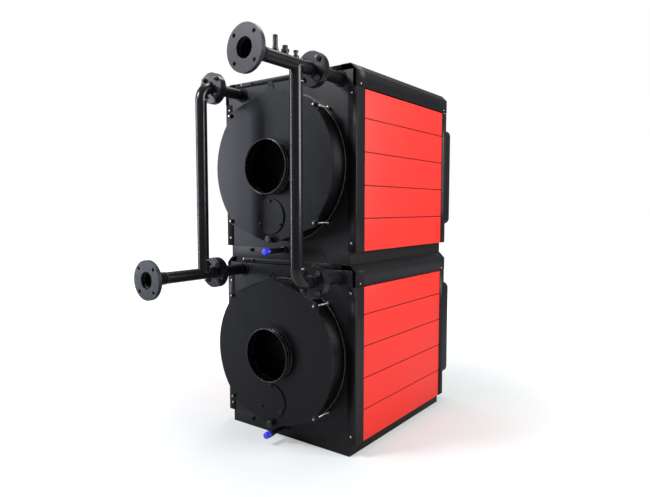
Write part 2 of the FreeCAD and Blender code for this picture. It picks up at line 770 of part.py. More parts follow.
os.makedirs("parts", exist_ok=True)
for obj in NODES:
    obj.Shape.exportStep("parts/%s.step" % obj.Label)
    bounds = obj.Shape.BoundBox
    print(
        "%-26s solids %2d volume %12.0f  x %7.1f %7.1f  y %7.1f %7.1f  z %7.1f %7.1f"
        % (
            obj.Label, len(obj.Shape.Solids), obj.Shape.Volume,
            bounds.XMin, bounds.XMax, bounds.YMin, bounds.YMax, bounds.ZMin, bounds.ZMax,
        )
    )
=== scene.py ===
# %% [markdown]
# # Twin boiler modules, stacked
#
# Two insulated boiler modules stand one on the other. Each has a black base,
# red side panels, a pressed black cover, a round smoke box with a flue collar
# on its back, and a rounded door on its front. Flanged pipes join the two.
#
# The exact shapes and sizes come ready made as CAD nodes. Flat plates, pipes
# and drilled flanges are right as they are, so they only get a finish. Pieces
# whose look depends on soft bends, threads, ribs or weld beads are worked out
# again here as surfaces and stand in for their node.

# %% Load the frame and note its box
import math

import bmesh
import bpy
import numpy as np
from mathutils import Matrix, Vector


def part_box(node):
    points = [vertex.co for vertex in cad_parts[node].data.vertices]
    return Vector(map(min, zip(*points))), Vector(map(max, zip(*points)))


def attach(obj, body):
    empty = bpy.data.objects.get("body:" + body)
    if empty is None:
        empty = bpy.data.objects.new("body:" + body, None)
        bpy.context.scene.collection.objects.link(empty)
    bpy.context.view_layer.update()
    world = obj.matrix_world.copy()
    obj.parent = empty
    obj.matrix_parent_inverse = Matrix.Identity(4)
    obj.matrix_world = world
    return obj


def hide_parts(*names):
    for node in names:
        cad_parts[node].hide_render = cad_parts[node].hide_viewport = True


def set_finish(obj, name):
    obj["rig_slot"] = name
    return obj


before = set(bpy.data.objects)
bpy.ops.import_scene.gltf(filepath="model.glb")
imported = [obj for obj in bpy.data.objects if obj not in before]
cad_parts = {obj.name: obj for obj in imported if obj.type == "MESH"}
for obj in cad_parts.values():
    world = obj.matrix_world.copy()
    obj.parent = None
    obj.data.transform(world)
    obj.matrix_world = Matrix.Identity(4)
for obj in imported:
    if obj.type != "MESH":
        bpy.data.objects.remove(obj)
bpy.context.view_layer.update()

# %% [markdown]
# ## Working in millimetres from the CAD boxes
#
# A sheet-metal shop thinks in millimetres, so every shape below does too, and
# only the last step turns it into metres. Places are read from the CAD boxes:
# if the frame changes, the pieces follow.

# %% Corners of a node, and the two floors
def corners(node):
    """Low and high corner of a CAD node in millimetres."""
    low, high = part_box(node)
    return np.array(low) * 1000.0, np.array(high) * 1000.0


RISE = corners("upper_plinth")[0][2]
LEVELS = {"lower": 0.0, "upper": RISE}
TO_BACK = np.array([0.0, -1.0, 0.0])
UP = np.array([0.0, 0.0, 1.0])
print("the upper module stands", round(RISE, 1), "mm above the lower one")

# %% [markdown]
# ## A surface is a grid of points
#
# Every new piece is a grid: rows of points, each row joined to the next by
# four-sided faces. Numpy works out all the points at once. Two helpers cover
# nearly everything: `quads` numbers the faces of a grid, and `loft` joins
# closed rings and shuts each end with a fan to the middle of its ring.

# %% Grids and lofts
def quads(rows, columns, wrap_rows=False, wrap_columns=False):
    """Faces between grid neighbours: (i, j), (i, j+1), (i+1, j+1), (i+1, j)."""
    i, j = np.meshgrid(
        np.arange(rows if wrap_rows else rows - 1),
        np.arange(columns if wrap_columns else columns - 1),
        indexing="ij",
    )
    i, j = i.ravel(), j.ravel()
    below, right = (i + 1) % rows, (j + 1) % columns
    corner = [i * columns + j, i * columns + right, below * columns + right, below * columns + j]
    return np.stack(corner, axis=1)


def loft(rings, loop=False):
    """Rings of points joined each to the next. Open ends are shut at the ring's middle."""
    rings = np.asarray(rings, float)
    if not loop:
        middles = rings[[0, -1]].mean(axis=1, keepdims=True).repeat(rings.shape[1], axis=1)
        rings = np.concatenate([middles[:1], rings, middles[1:]])
    rows, columns = rings.shape[:2]
    return rings.reshape(-1, 3), quads(rows, columns, wrap_rows=loop, wrap_columns=True)


def unit(v):
    """Each vector over its own length."""
    return v / np.linalg.norm(v, axis=-1, keepdims=True)


# %% [markdown]
# Round pieces are turned, as on a lathe: a profile of (height, radius) pairs
# goes round an axis. Two directions square to the axis make the circle.

# %% Turning on a lathe
def square_to(axis):
    """Two directions square to the axis and to each other."""
    helper = UP if abs(axis[2]) < 0.9 else np.array([1.0, 0.0, 0.0])
    side = unit(np.cross(helper, axis))
    return side, np.cross(axis, side)


def circle(axis, steps):
    """cos t * side + sin t * up for t once round, one row for each step."""
    t = np.linspace(0, 2 * np.pi, steps, endpoint=False)[:, None]
    side, up = square_to(axis)
    return np.cos(t) * side + np.sin(t) * up


def turned(profile, centre, axis, steps=48, loop=False):
    """Point(i, t) = centre + height_i * axis + radius_i * circle(t)."""
    profile = np.asarray(profile, float)
    height, radius = profile[:, 0, None, None], profile[:, 1, None, None]
    rings = np.asarray(centre, float) + height * axis + radius * circle(axis, steps)
    return loft(rings, loop=loop)


# %% [markdown]
# Nothing folded or cast has a knife edge. `eased` swaps each corner of an
# outline for a small arc that touches both sides, which is what catches the
# light on a real edge.

# %% Easing corners
def eased(points, radius, steps=5, closed=True):
    """Each corner P with neighbours A and B gives way to an arc of the given radius.

    The arc starts r / tan(h) from P along each side, where h is half the corner
    angle, and its centre is r / sin(h) from P along the bisector.
    """
    points = np.asarray(points, float)
    a = unit(np.roll(points, 1, axis=0) - points)
    b = unit(np.roll(points, -1, axis=0) - points)
    half = np.arccos(np.clip((a * b).sum(axis=1), -0.9999, 0.9999))[:, None] / 2
    r = np.broadcast_to(np.asarray(radius, float), len(points))[:, None]
    centre = points + unit(a + b) * r / np.sin(half)
    start = points + a * r / np.tan(half) - centre
    end = points + b * r / np.tan(half) - centre
    sweep = (np.pi - 2 * half)[:, None]
    s = np.linspace(0, 1, steps)[None, :, None]
    arcs = np.sin((1 - s) * sweep) * start[:, None] + np.sin(s * sweep) * end[:, None]
    arcs = centre[:, None] + arcs / np.sin(sweep)
    if closed:
        return arcs.reshape(-1, points.shape[1])
    middle = arcs[1:-1].reshape(-1, points.shape[1])
    return np.concatenate([points[:1], middle, points[-1:]])


# %% [markdown]
# One function makes every object. It joins the parts, merges the points that
# meet at seams and poles, turns all faces outwards and marks only real creases
# as sharp.

# %% Making a piece
MADE = {}


def piece(name, parts, slot, replaces=(), crease=34, sheet=None, solid=True):
    """Join (points, faces) parts into one object that rides on the root body.

    `sheet` is a metal thickness in millimetres: the surface is then thickened inwards.
    """
    points, faces, first = [], [], 0
    for part_points, part_faces in parts:
        points.append(part_points)
        faces.append(part_faces + first)
        first += len(part_points)
    mesh = bpy.data.meshes.new(name)
    mesh.from_pydata((np.concatenate(points) / 1000.0).tolist(), [], np.concatenate(faces).tolist())
    bm = bmesh.new()
    bm.from_mesh(mesh)
    bmesh.ops.remove_doubles(bm, verts=bm.verts, dist=2e-6)
    bmesh.ops.dissolve_degenerate(bm, edges=bm.edges, dist=1e-7)
    if solid:
        bmesh.ops.recalc_face_normals(bm, faces=bm.faces)
    bm.to_mesh(mesh)
    bm.free()
    mesh.shade_smooth()
    mesh.set_sharp_from_angle(angle=math.radians(crease))
    obj = bpy.data.objects.new(name, mesh)
    bpy.context.scene.collection.objects.link(obj)
    if sheet:
        wall = obj.modifiers.new("metal thickness", "SOLIDIFY")
        wall.thickness, wall.offset = sheet / 1000.0, -1.0
    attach(obj, "root")
    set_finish(obj, slot)
    if replaces:
        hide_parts(*replaces)
    MADE[name] = obj
    print(f"{name}: {len(mesh.polygons)} faces")
    return obj


# %% [markdown]
# ## The base of each module
#
# A low frame of folded steel carries the casing. Its upright corners are bent,
# not welded, so they are a little round. The outline is a rounded rectangle and
# the loft carries it from the floor to the casing.

# %% Plinths
def rectangle(low, high, inset=0.0):
    """Corners of a level rectangle, counter-clockwise, drawn in by an inset."""
    x0, y0, x1, y1 = low[0] + inset, low[1] + inset, high[0] - inset, high[1] - inset
    return np.array([(x0, y0), (x1, y0), (x1, y1), (x0, y1)])


def level_rings(outlines, heights):
    """Stack flat outlines at their heights."""
    return np.stack([np.column_stack([o, np.full(len(o), z)]) for o, z in zip(outlines, heights)])


for level in LEVELS:
    low, high = corners(level + "_plinth")
    insets = np.array([1.2, 0.3, 0.0, 0.0, 0.3, 1.2])
    heights = np.array([low[2], low[2] + 0.4, low[2] + 1.4, high[2] - 1.4, high[2] - 0.4, high[2]])
    outlines = [eased(rectangle(low, high, d), 4.0 - d, steps=6) for d in insets]
    piece(level + "_base_frame", [loft(level_rings(outlines, heights))], "plinth_black", [level + "_plinth"])

# %% [markdown]
# ## The pressed cover
#
# One sheet, folded along its length: an upright band on each side, a sloping
# fold, and the flat top. Short hems turn down at both ends, but stop short of
# the sides, which leaves the dark notches at the corners. The profile across is
# an eased line, carried from end to end. Where a hem follows, the sheet stops
# one bend radius early and the hem's own small bend takes over.

# %% Covers with their hems
COVER_SHEET, FOLD, CHAMFER = 2.5, 5.0, 34.0
HEM_DROP, HEM_LEAN, HEM_BEND = 27.0, 3.2, 3.0
HEM_LEFT, REAR_HEM_RIGHT, FRONT_HEM_RIGHT = -385.0, 370.0, 385.0


def cover(level):
    """Side bands, slopes and lid in one eased line; then a hem strip at each end."""
    low, high = corners(level + "_top_cover")
    shoulder, lid = high[2] - CHAMFER, high[0] - CHAMFER
    across = eased(
        [(low[0], low[2]), (low[0], shoulder), (-lid, high[2]),
         (lid, high[2]), (high[0], shoulder), (high[0], low[2])],
        FOLD, steps=7, closed=False,
    )
    hair = 0.01
    on_lid = [(x, high[2]) for x in (
        HEM_LEFT, HEM_LEFT + hair, REAR_HEM_RIGHT - hair, REAR_HEM_RIGHT,
        FRONT_HEM_RIGHT - hair, FRONT_HEM_RIGHT,
    )]
    left, right = across[across[:, 0] < HEM_LEFT], across[across[:, 0] > FRONT_HEM_RIGHT]
    x, z = np.concatenate([left, on_lid, right]).T
    hems = {-1.0: (HEM_LEFT, REAR_HEM_RIGHT), 1.0: (HEM_LEFT, FRONT_HEM_RIGHT)}
    ends = []
    for side, (start, stop) in hems.items():
        under_hem = (x > start + hair / 2) & (x < stop - hair / 2)
        ends.append(side * (high[1] - np.where(under_hem, HEM_BEND + HEM_LEAN, 0.0)))
    share = np.linspace(0, 1, 12)[:, None]
    y = (1 - share) * ends[0] + share * ends[1]
    points = np.stack([np.broadcast_to(x, y.shape), y, np.broadcast_to(z, y.shape)], axis=2)
    parts = [(points.reshape(-1, 3), quads(*y.shape))]
    for side, (start, stop) in hems.items():
        top = high[1] - HEM_LEAN
        turn = [(top - HEM_BEND, high[2]), (top, high[2]), (high[1], high[2] - HEM_DROP)]
        hem = eased(turn, 2.6, steps=6, closed=False)
        yy, xx = np.meshgrid(side * hem[:, 0], np.linspace(start, stop, 9), indexing="ij")
        zz = np.broadcast_to(hem[:, 1, None], xx.shape)
        parts.append((np.stack([xx, yy, zz], axis=2).reshape(-1, 3), quads(*xx.shape)))
    return parts


def face_away(obj, middle):
    """Turn the faces of an open sheet away from a middle point (millimetres)."""
    mesh = obj.data
    centres = np.zeros(len(mesh.polygons) * 3)
    normals = centres.copy()
    mesh.polygons.foreach_get("center", centres)
    mesh.polygons.foreach_get("normal", normals)
    out = ((centres.reshape(-1, 3) - np.asarray(middle) / 1000.0) * normals.reshape(-1, 3)).sum(axis=1)
    bm = bmesh.new()
    bm.from_mesh(mesh)
    bm.faces.ensure_lookup_table()
    bmesh.ops.reverse_faces(bm, faces=[bm.faces[i] for i in np.nonzero(out < 0)[0]])
    bm.to_mesh(mesh)
    bm.free()


for level, rise in LEVELS.items():
    obj = piece(
        level + "_pressed_cover", cover(level), "casing_black", [level + "_top_cover"],
        sheet=COVER_SHEET, solid=False,
    )
    face_away(obj, (0, 0, rise + 850))

# %% [markdown]
# ## Corner angles
#
# Each upright corner is a strip of 3 mm sheet folded once. Its section is an
# open L with a rounded fold, carried straight up. The front legs on the sides
# are narrower than the back ones.

# %% Corner angles
ANGLE_SHEET = 3.0
REAR_LEG, REAR_SIDE_LEG, FRONT_SIDE_LEG = 49.0, 80.0, 60.0


def angle_strip(side, end, low, high):
    """An eased L in plan, carried from the plinth to the cover's edge."""
    x, y = side * high[0], end * high[1]
    leg = REAR_SIDE_LEG if end < 0 else FRONT_SIDE_LEG
    plan = eased([(x - side * REAR_LEG, y), (x, y), (x, y - end * leg)], 4.0, steps=7, closed=False)
    z = np.array([low[2], low[2] + 200, high[2] - 200, high[2]])
    xx, zz = np.meshgrid(plan[:, 0], z, indexing="ij")
    yy = np.broadcast_to(plan[:, 1, None], xx.shape)
    return np.stack([xx, yy, zz], axis=2).reshape(-1, 3), quads(*xx.shape)


for level, rise in LEVELS.items():
    low, high = corners(level + "_corner_angles")
    strips = [angle_strip(side, end, low, high) for side in (-1, 1) for end in (-1, 1)]
    obj = piece(
        level + "_folded_corners", strips, "casing_black", [level + "_corner_angles"],
        sheet=ANGLE_SHEET, solid=False,
    )
    face_away(obj, (0, 0, rise + 480))

# %% [markdown]
# ## Red side panels
#
# A red side is one panel with four shallow grooves that part it into strips.
# The loft goes upwards, ring by ring. Each ring is the panel's plan, and its
# outer side is drawn in by the groove depth, which is a smooth step on each
# side of the groove's middle.

# %% Side panels with eased grooves
GROOVE_DEEP, STRIP_SHARE = 4.0, 0.2056


def side_cladding(side, low, high):
    """Outer face at height z is the panel's face less g(z), and g is a smooth step.

    It rises to the groove's depth within about 3 mm of the groove's middle.
    """
    tall = high[2] - low[2]
    middles = low[2] + STRIP_SHARE * tall * np.arange(1, 5)
    around = np.array([-5.0, -3.4, -3.0, -2.6, -2.2, -1.8, 0.0, 1.8, 2.2, 2.6, 3.0, 3.4, 5.0])
    ends = np.array([0.0, 0.5, 1.2, 2.0])
    z = np.sort(np.concatenate([low[2] + ends, high[2] - ends, (middles[:, None] + around).ravel()]))
    off = np.abs(z[:, None] - middles).min(axis=1)
    step = np.clip((3.4 - off) / 1.6, 0, 1)
    depth = GROOVE_DEEP * step * step * (3 - 2 * step)
    rim = np.minimum(z - low[2], high[2] - z)
    depth = depth + 1.6 * (1 - np.clip(rim / 2.0, 0, 1)) ** 2
    plan = eased(rectangle(low, high), 1.5, steps=4)
    outward = (plan[:, 0] - low[0]) / (high[0] - low[0])
    outward = outward if side > 0 else 1 - outward
    x = plan[:, 0] - side * outward * depth[:, None]
    y = np.broadcast_to(plan[:, 1], x.shape)
    zz = np.broadcast_to(z[:, None], x.shape)
    return loft(np.stack([x, y, zz], axis=2))


for level in LEVELS:
    for side, word in ((1, "right"), (-1, "left")):
        node = f"{level}_side_panel_{word}"
        panel = side_cladding(side, *corners(node))
        piece(f"{level}_red_side_{word}", [panel], "panel_red", [node], crease=40)

# %% [markdown]
# ## Front doors
#
# The door on the far side is a deep pressed tray with round corners. From
# the back of the boiler only its rim shows. The outline is a rounded rectangle
# that shrinks a little at each station as the rim turns over onto the face.

# %% Doors
DOOR_CORNER, DOOR_TURN = 36.0, 14.0


def upright_outline(half_width, low_z, high_z, radius, steps=14):
    """Rounded rectangle in the upright plane."""
    plain = [(-half_width, low_z), (half_width, low_z), (half_width, high_z), (-half_width, high_z)]
    return eased(plain, radius, steps=steps)


def door(level):
    """Rounded rectangles stacked along y.

    The rim turns over in a quarter circle: inset r(1 - cos a) at depth r sin a.
    """
    low, high = corners(level + "_front_door")
    turn = np.linspace(0, np.pi / 2, 7)
    inset = np.concatenate([[2.0, 0.6, 0.0, 0.0], DOOR_TURN * (1 - np.cos(turn[1:])), [22.0, 24.0, 30.0]])
    rim = high[1] - DOOR_TURN
    back = [low[1], low[1] + 0.6, low[1] + 2, rim]
    face = [high[1], high[1] - 2.5, high[1] - 3]
    y = np.concatenate([back, rim + DOOR_TURN * np.sin(turn[1:]), face])
    rings = []
    for d, depth in zip(inset, y):
        flat = upright_outline(high[0] - d, low[2] + d, high[2] - d, DOOR_CORNER - d)
        rings.append(np.column_stack([flat[:, 0], np.full(len(flat), depth), flat[:, 1]]))
    return loft(np.stack(rings))


for level in LEVELS:
    piece(level + "_door_tray", [door(level)], "door_black", [level + "_front_door"], crease=50)

# %% [markdown]
# ## Smoke box drum
#
# A drum of 4 mm sheet stands on the rear panel, with a foot ring welded on.
# Its section is a closed loop, outside and inside wall together, so turning it
# gives a solid shell. The bead of sealant round its foot is uneven, so its
# thickness comes from a few sine waves of different lengths.

# %% Drums and the sealant at their foot
RING_PROUD, RING_THICK, DRUM_SHEET = 7.0, 6.0, 4.0


def drum(level):
    """The wall and foot ring as one closed section, turned: radius(height) is that outline."""
    low, high = corners(level + "_smoke_box")
    centre = (0.0, high[1], (low[2] + high[2]) / 2)
    outer, deep = high[0] - RING_PROUD, high[1] - low[1]
    ring, inner = outer + RING_PROUD, outer - DRUM_SHEET
    section = [(0, ring), (RING_THICK, ring), (RING_THICK, outer), (deep, outer), (deep, inner), (0, inner)]
    loop = eased(section, [1.5, 2.0, 1.4, 1.2, 1.2, 0.3], steps=4)
    return turned(loop, centre, TO_BACK, steps=160, loop=True), centre, outer


def bead(path, outward, radius, steps=8):
    """A round section carried along a closed path: path + r * (cos a * outward + sin a * across)."""
    along = unit(np.roll(path, -1, axis=0) - np.roll(path, 1, axis=0))
    across = np.cross(along, outward)
    a = np.linspace(0, 2 * np.pi, steps, endpoint=False)[None, :, None]
    round_it = np.cos(a) * outward[:, None] + np.sin(a) * across[:, None]
    return loft(path[:, None] + np.asarray(radius)[:, None, None] * round_it, loop=True)


for level in LEVELS:
    shell, centre, outer = drum(level)
    piece(level + "_drum_shell", [shell], "smoke_box_black", [level + "_smoke_box"])
    t = np.linspace(0, 2 * np.pi, 420, endpoint=False)
    ring = circle(TO_BACK, 420)
    size = 2.0 + 0.5 * np.sin(23 * t) * np.sin(7 * t + 1) + 0.5 * np.sin(61 * t + 2) * np.sin(3 * t)
    path = np.array(centre) + 7.0 * TO_BACK + (outer + RING_PROUD - 0.3) * ring
    piece(level + "_drum_sealant", [bead(path, ring, size, steps=6)], "gasket_grey")

# %% [markdown]
# ## Flue collar
#
# A thin spun tube takes the flue pipe. A rolled lip stiffens its mouth and a
# small raised bead runs round it half way, as on most spun flue parts. Both are
# in the profile, which again is one closed loop round the thin wall.

# %% Collars
def collar(level):
    """Thin wall turned from a closed section, with a sine-shaped bead and an arc for the rolled lip."""
    low, high = corners(level + "_flue_collar")
    centre = (0.0, high[1], (low[2] + high[2]) / 2)
    r, deep = high[0] - 2.0, high[1] - low[1]
    s = np.linspace(0, np.pi, 7)
    swage = np.column_stack([deep * 0.45 - 3.5 * np.cos(s), r + 1.6 + 2.2 * np.sin(s)])
    outside = np.concatenate([[(0.0, r + 5.0), (1.2, r + 4.2), (3.4, r + 2.0), (5.0, r + 1.6)], swage])
    t = np.linspace(0.15 * np.pi, 1.5 * np.pi, 14)
    rolled = np.column_stack([deep - 3.2 - 3.2 * np.cos(t), r + 2.4 + 3.2 * np.sin(t)])
    inside = np.array([(deep - 4.5, r), (1.0, r), (0.0, r)])
    return turned(np.concatenate([outside, rolled, inside]), centre, TO_BACK, steps=96, loop=True)


for level in LEVELS:
    piece(level + "_spun_collar", [collar(level)], "collar_black", [level + "_flue_collar"], crease=60)

# %% [markdown]
# ## Hatch cover, knob, nuts and screws
#
# Fixings are small but they say how big everything is. A hexagon is a circle
# whose radius changes with the angle: the flat's distance divided by the cosine
# of the angle from the middle of that flat. The chamfer on a nut is a cone that
# cuts the six corners, so each ring takes the smaller of the two radii.

# %% Hexagons, washers, domes and threads
def hexed(flats, heights, cones, centre, axis, steps=36):
    """Rings of min(hexagon, cone). Hexagon radius is flats / 2 / cos(angle from the flat's middle)."""
    t = np.linspace(0, 2 * np.pi, steps, endpoint=False)
    from_middle = np.mod(t, np.pi / 3) - np.pi / 6
    hexagon = flats / 2 / np.cos(from_middle)
    radius = np.minimum(hexagon, np.asarray(cones, float)[:, None])[:, :, None]
    height = np.asarray(heights, float)[:, None, None]
    return loft(np.asarray(centre, float) + height * axis + radius * circle(axis, steps))


def nut(flats, thick, centre, axis):
    """Hexagon with both faces chamfered at about 30 degrees."""
    corner = flats / 2 / math.cos(math.pi / 6)
    cut = corner - flats / 2
    return hexed(flats, [0, 0, cut * 0.5, thick - cut * 0.5, thick, thick],
                 [flats * 0.44, flats / 2, corner, corner, flats / 2, flats * 0.44], centre, axis)


def washer(outer, inner, thick, centre, axis, steps=32):
    """A rectangle with eased corners, turned between the two radii."""
    loop = eased([(0, outer), (thick, outer), (thick, inner), (0, inner)], min(0.5, thick / 3), steps=3)
    return turned(loop, centre, axis, steps=steps, loop=True)


def threaded(radius, pitch, start, length, centre, axis, steps=20):
    """Screw surface: radius less a sawtooth of (height / pitch - angle / full turn)."""
    rows = max(8, int(length / pitch * 5))
    height = np.linspace(start, start + length, rows)[:, None]
    t = np.linspace(0, 1, steps, endpoint=False)[None, :]
    saw = np.abs(2 * np.mod(height / pitch - t, 1.0) - 1)
    reach = np.clip(np.minimum(height - start, start + length - height) / 0.8, 0, 1)
    r = (radius - 0.45 * pitch * saw - 0.6 * (1 - reach))[:, :, None]
    return loft(np.asarray(centre, float) + height[:, :, None] * axis + r * circle(axis, steps))


def dome_screw(radius, centre, axis, rise=0.5):
    """Low round head with a small dimple for the driver, on a thin washer."""
    s = np.linspace(0, np.pi / 2, 6)
    head = np.column_stack([0.8 + radius * rise * np.sin(s[:-1]), radius * np.cos(s[:-1])])
    top = 0.8 + radius * rise
    flange = [(0, radius * 1.25), (0.6, radius * 1.25), (0.8, radius * 1.1)]
    dimple = [(top, radius * 0.3), (top - 1.2, radius * 0.26), (top - 1.4, 0.05)]
    return turned(np.concatenate([flange, head, dimple]), centre, axis, steps=20)


print("a 13 mm hexagon is", round(13 / math.cos(math.pi / 6), 2), "mm over its corners")

# %% Hatch covers and their screws
for level in LEVELS:
    low, high = corners(level + "_inspection_cover")
    r, thick = high[0], high[1] - low[1]
    centre = np.array([0.0, high[1], (low[2] + high[2]) / 2])
    disc = [
        (0, r - 0.5), (0.6, r), (thick - 1.6, r), (thick - 0.7, r - 0.3),
        (thick - 0.2, r - 0.9), (thick, r - 1.8), (thick, r - 6), (thick, r * 0.5),
    ]
    lid = turned(disc, centre, TO_BACK, steps=96)
    piece(level + "_hatch_cover", [lid], "plate_black", [level + "_inspection_cover"])
    heads = []
    for angle in np.radians([90, 210, 330]):
        at = centre + (0.84 * r) * np.array([math.cos(angle), 0, math.sin(angle)]) + thick * TO_BACK
        heads += [washer(8.5, 4.2, 1.6, at, TO_BACK), nut(13.0, 5.3, at + 1.6 * TO_BACK, TO_BACK)]
        heads.append(turned([(0, 3.9), (7.6, 3.9), (8.4, 3.2), (8.4, 0.05)], at, TO_BACK, steps=16))
    piece(level + "_hatch_screws", heads, "plate_black")

# %% [markdown]
# The tie rods pull the plate onto the drum. Each has a threaded shank that
# shows in the gap behind the plate, and a washer and nut on its face.

# %% Tie rods
for level in LEVELS:
    low, high = corners(level + "_tie_rods")
    corner = 11.0
    flats = 2 * corner * math.cos(math.pi / 6)
    across, mid = high[0] - corner, (low[2] + high[2]) / 2
    up = (high[2] - low[2]) / 2 - flats / 2
    plate_face = corners(level + "_cover_plate")[0][1]
    rods, nuts = [], []
    for sx in (-1, 1):
        for sz in (-1, 1):
            foot = np.array([sx * across, high[1], mid + sz * up])
            face = np.array([sx * across, plate_face, mid + sz * up])
            rods.append(threaded(6.0, 1.75, 0, high[1] - plate_face + 14.5, foot, TO_BACK))
            stud = eased([(0, 0.05), (0, 8), (20, 8), (20, 0.05)], [0.01, 0.4, 1.2, 0.01], steps=3)
            rods.append(turned(stud, foot, TO_BACK, steps=24))
            nuts.append(washer(15.0, 6.4, 2.4, face, TO_BACK))
            nuts.append(nut(flats, 9.6, face + 2.4 * TO_BACK, TO_BACK))
    piece(level + "_tie_rod_shanks", rods, "zinc_steel", [level + "_tie_rods"])
    piece(level + "_tie_rod_nuts", nuts, "plate_black")

# %% [markdown]
# The knob low on the plate is a moulded grip. Its radius swings in and out
# with six lobes, which is one cosine of the angle, and fades to a plain circle
# at both faces.

# %% Knobs
for level in LEVELS:
    low, high = corners(level + "_hand_knob")
    centre = np.array([0.0, high[1], (low[2] + high[2]) / 2])
    r, reach = high[0], high[1] - low[1]
    t = np.linspace(0, 2 * np.pi, 72, endpoint=False)[None, :]
    height = np.array([11.5, 12.0, 13.5, 16.0, 20.0, 24.0, 26.2, 27.5, 28.0, 28.0])[:, None] * reach / 28.0
    body = np.array([0.55, 0.72, 0.86, 0.95, 1.0, 0.98, 0.93, 0.84, 0.72, 0.35])[:, None] * r
    depth = np.array([0.0, 0.04, 0.09, 0.12, 0.13, 0.12, 0.1, 0.07, 0.03, 0.0])[:, None]
    radius = body * (1 - depth * (0.5 - 0.5 * np.cos(6 * t)))
    grip = loft(centre + height[:, :, None] * TO_BACK + radius[:, :, None] * circle(TO_BACK, 72))
    stem = turned([(0, 5), (0.1, 7.5), (3, 7.5), (3.2, 5), (12.5, 5)], centre, TO_BACK, steps=24)
    piece(level + "_grip_knob", [grip, stem], "drain_plastic", [level + "_hand_knob"], crease=45)

# %% [markdown]
# ## Drain and its blue cap
#
# A black plastic drain comes out under the smoke box and ends in a blue push-on
# cap. Fine ribs round the cap give grip: twenty-four shallow waves.

# %% Drains and caps
for level in LEVELS:
    low, high = corners(level + "_drain_pipe")
    cap_low, cap_high = corners(level + "_drain_cap")
    collar_r, drain_x = (high[0] - low[0]) / 2, (low[0] + high[0]) / 2
    centre = np.array([drain_x, high[1], (low[2] + high[2]) / 2])
    length = high[1] - low[1]
    pipe_r = 14.0
    flare = [(0, collar_r - 1), (1, collar_r), (6.5, collar_r), (8, collar_r - 1.5)]
    flare += [(8.6, pipe_r + 1.2), (10, pipe_r)]
    # a coupling near the mouth: distance back from the end, and how far it stands out
    coupling = [(34, 0), (33, 2.6), (31.5, 3.2), (16, 3.2), (14.5, 2.6), (13.5, 0), (0, 0)]
    profile = flare + [(length - back, pipe_r + out) for back, out in coupling]
    run = turned(profile, centre, TO_BACK, steps=40)
    piece(level + "_drain_run", [run], "drain_plastic", [level + "_drain_pipe"], crease=40)
    r, deep = (cap_high[0] - cap_low[0]) / 2, cap_high[1] - cap_low[1]
    mouth = np.array([drain_x, cap_high[1], centre[2]])
    t = np.linspace(0, 2 * np.pi, 96, endpoint=False)[None, :]
    skirt, crown = [-9.0, -9.0, -8.2, 0.0, 1.2], [6, 3, 1, 0.2, 0, 0]
    height = np.array(skirt + [deep - below for below in crown])[:, None]
    body = np.array([0.80, 0.97, 1.0, 1.0, 0.95, 0.93, 0.90, 0.84, 0.76, 0.68, 0.3])[:, None] * r
    ribs = np.array([0, 0, 0, 0, 0.02, 0.035, 0.03, 0.02, 0.01, 0, 0])[:, None]
    radius = body * (1 - ribs * (0.5 - 0.5 * np.cos(24 * t)))
    cap = loft(mouth + height[:, :, None] * TO_BACK + radius[:, :, None] * circle(TO_BACK, 96))
    piece(level + "_blue_cap", [cap], "cap_blue", [level + "_drain_cap"], crease=50)

# %% [markdown]
# ## Grommets round the pipes
#
# A soft ring closes the hole where a pipe leaves the casing. Its section is a
# flat bun with a groove, all in one closed loop.

# %% Grommets
for level in LEVELS:
    low, high = corners(level + "_pipe_grommets")
    r = (high[2] - low[2]) / 2
    rings = []
    for x in (low[0] + r, high[0] - r):
        centre = np.array([x, high[1], (low[2] + high[2]) / 2])
        section = [(0, r), (5.0, r), (8.0, r - 5.5), (8.0, 30.5), (0, 30.5)]
        loop = eased(section, [0.2, 1.6, 1.8, 1.0, 0.2], steps=4)
        rings.append(turned(loop, centre, TO_BACK, steps=64, loop=True))
    piece(level + "_rubber_rings", rings, "grommet_rubber", [level + "_pipe_grommets"], crease=60)

# %% [markdown]
# ## Bolts through the flange pairs
#
# Four bolts pull each pair of flanges together. One side shows the head, the
# other a nut and two turns of thread. All sixteen share the same shapes, each
# set down at its own hole.

# %% Flange bolts
def middle(node, axis):
    """Middle of a node's box along one axis."""
    low, high = corners(node)
    return (low[axis] + high[axis]) / 2


PIPE_X = middle("flow_header", 0), middle("return_header", 0)
PAIR_Z = [middle(level + "_flow_stub", 2) for level in LEVELS]
BOLT_CIRCLE, PAIR_THICK, PAIR_NEAR = 125.0, 38.0, -718.0
HOLE = BOLT_CIRCLE / 2 * math.sqrt(0.5)
parts = []
for x in PIPE_X:
    for z in PAIR_Z:
        for dx in (-HOLE, HOLE):
            for dz in (-HOLE, HOLE):
                near = np.array([x + dx, PAIR_NEAR, z + dz])
                parts.append(washer(13.0, 8.2, 2.2, near, -TO_BACK, steps=24))
                parts.append(nut(22.0, 8.4, near - 2.2 * TO_BACK, -TO_BACK))
                far = near + PAIR_THICK * TO_BACK
                parts.append(washer(13.0, 8.2, 2.2, far, TO_BACK, steps=24))
                parts.append(nut(22.0, 10.5, far + 2.2 * TO_BACK, TO_BACK))
                parts.append(threaded(8.0, 2.0, 0, 8.0, far + 10 * TO_BACK, TO_BACK, steps=16))
                shank = [(0, 8.0), (PAIR_THICK + 4.4, 8.0)]
                parts.append(turned(shank, near - 2.2 * TO_BACK, TO_BACK, steps=16))
piece("pair_bolts", parts, "fitting_steel", ["flange_bolts"])

# %% [markdown]
# ## Fittings on top of the flow header
#
# A tall threaded nipple for a sensor, a hexagon plug and a small vent stand on
# three bosses. The nipple is a true screw surface.

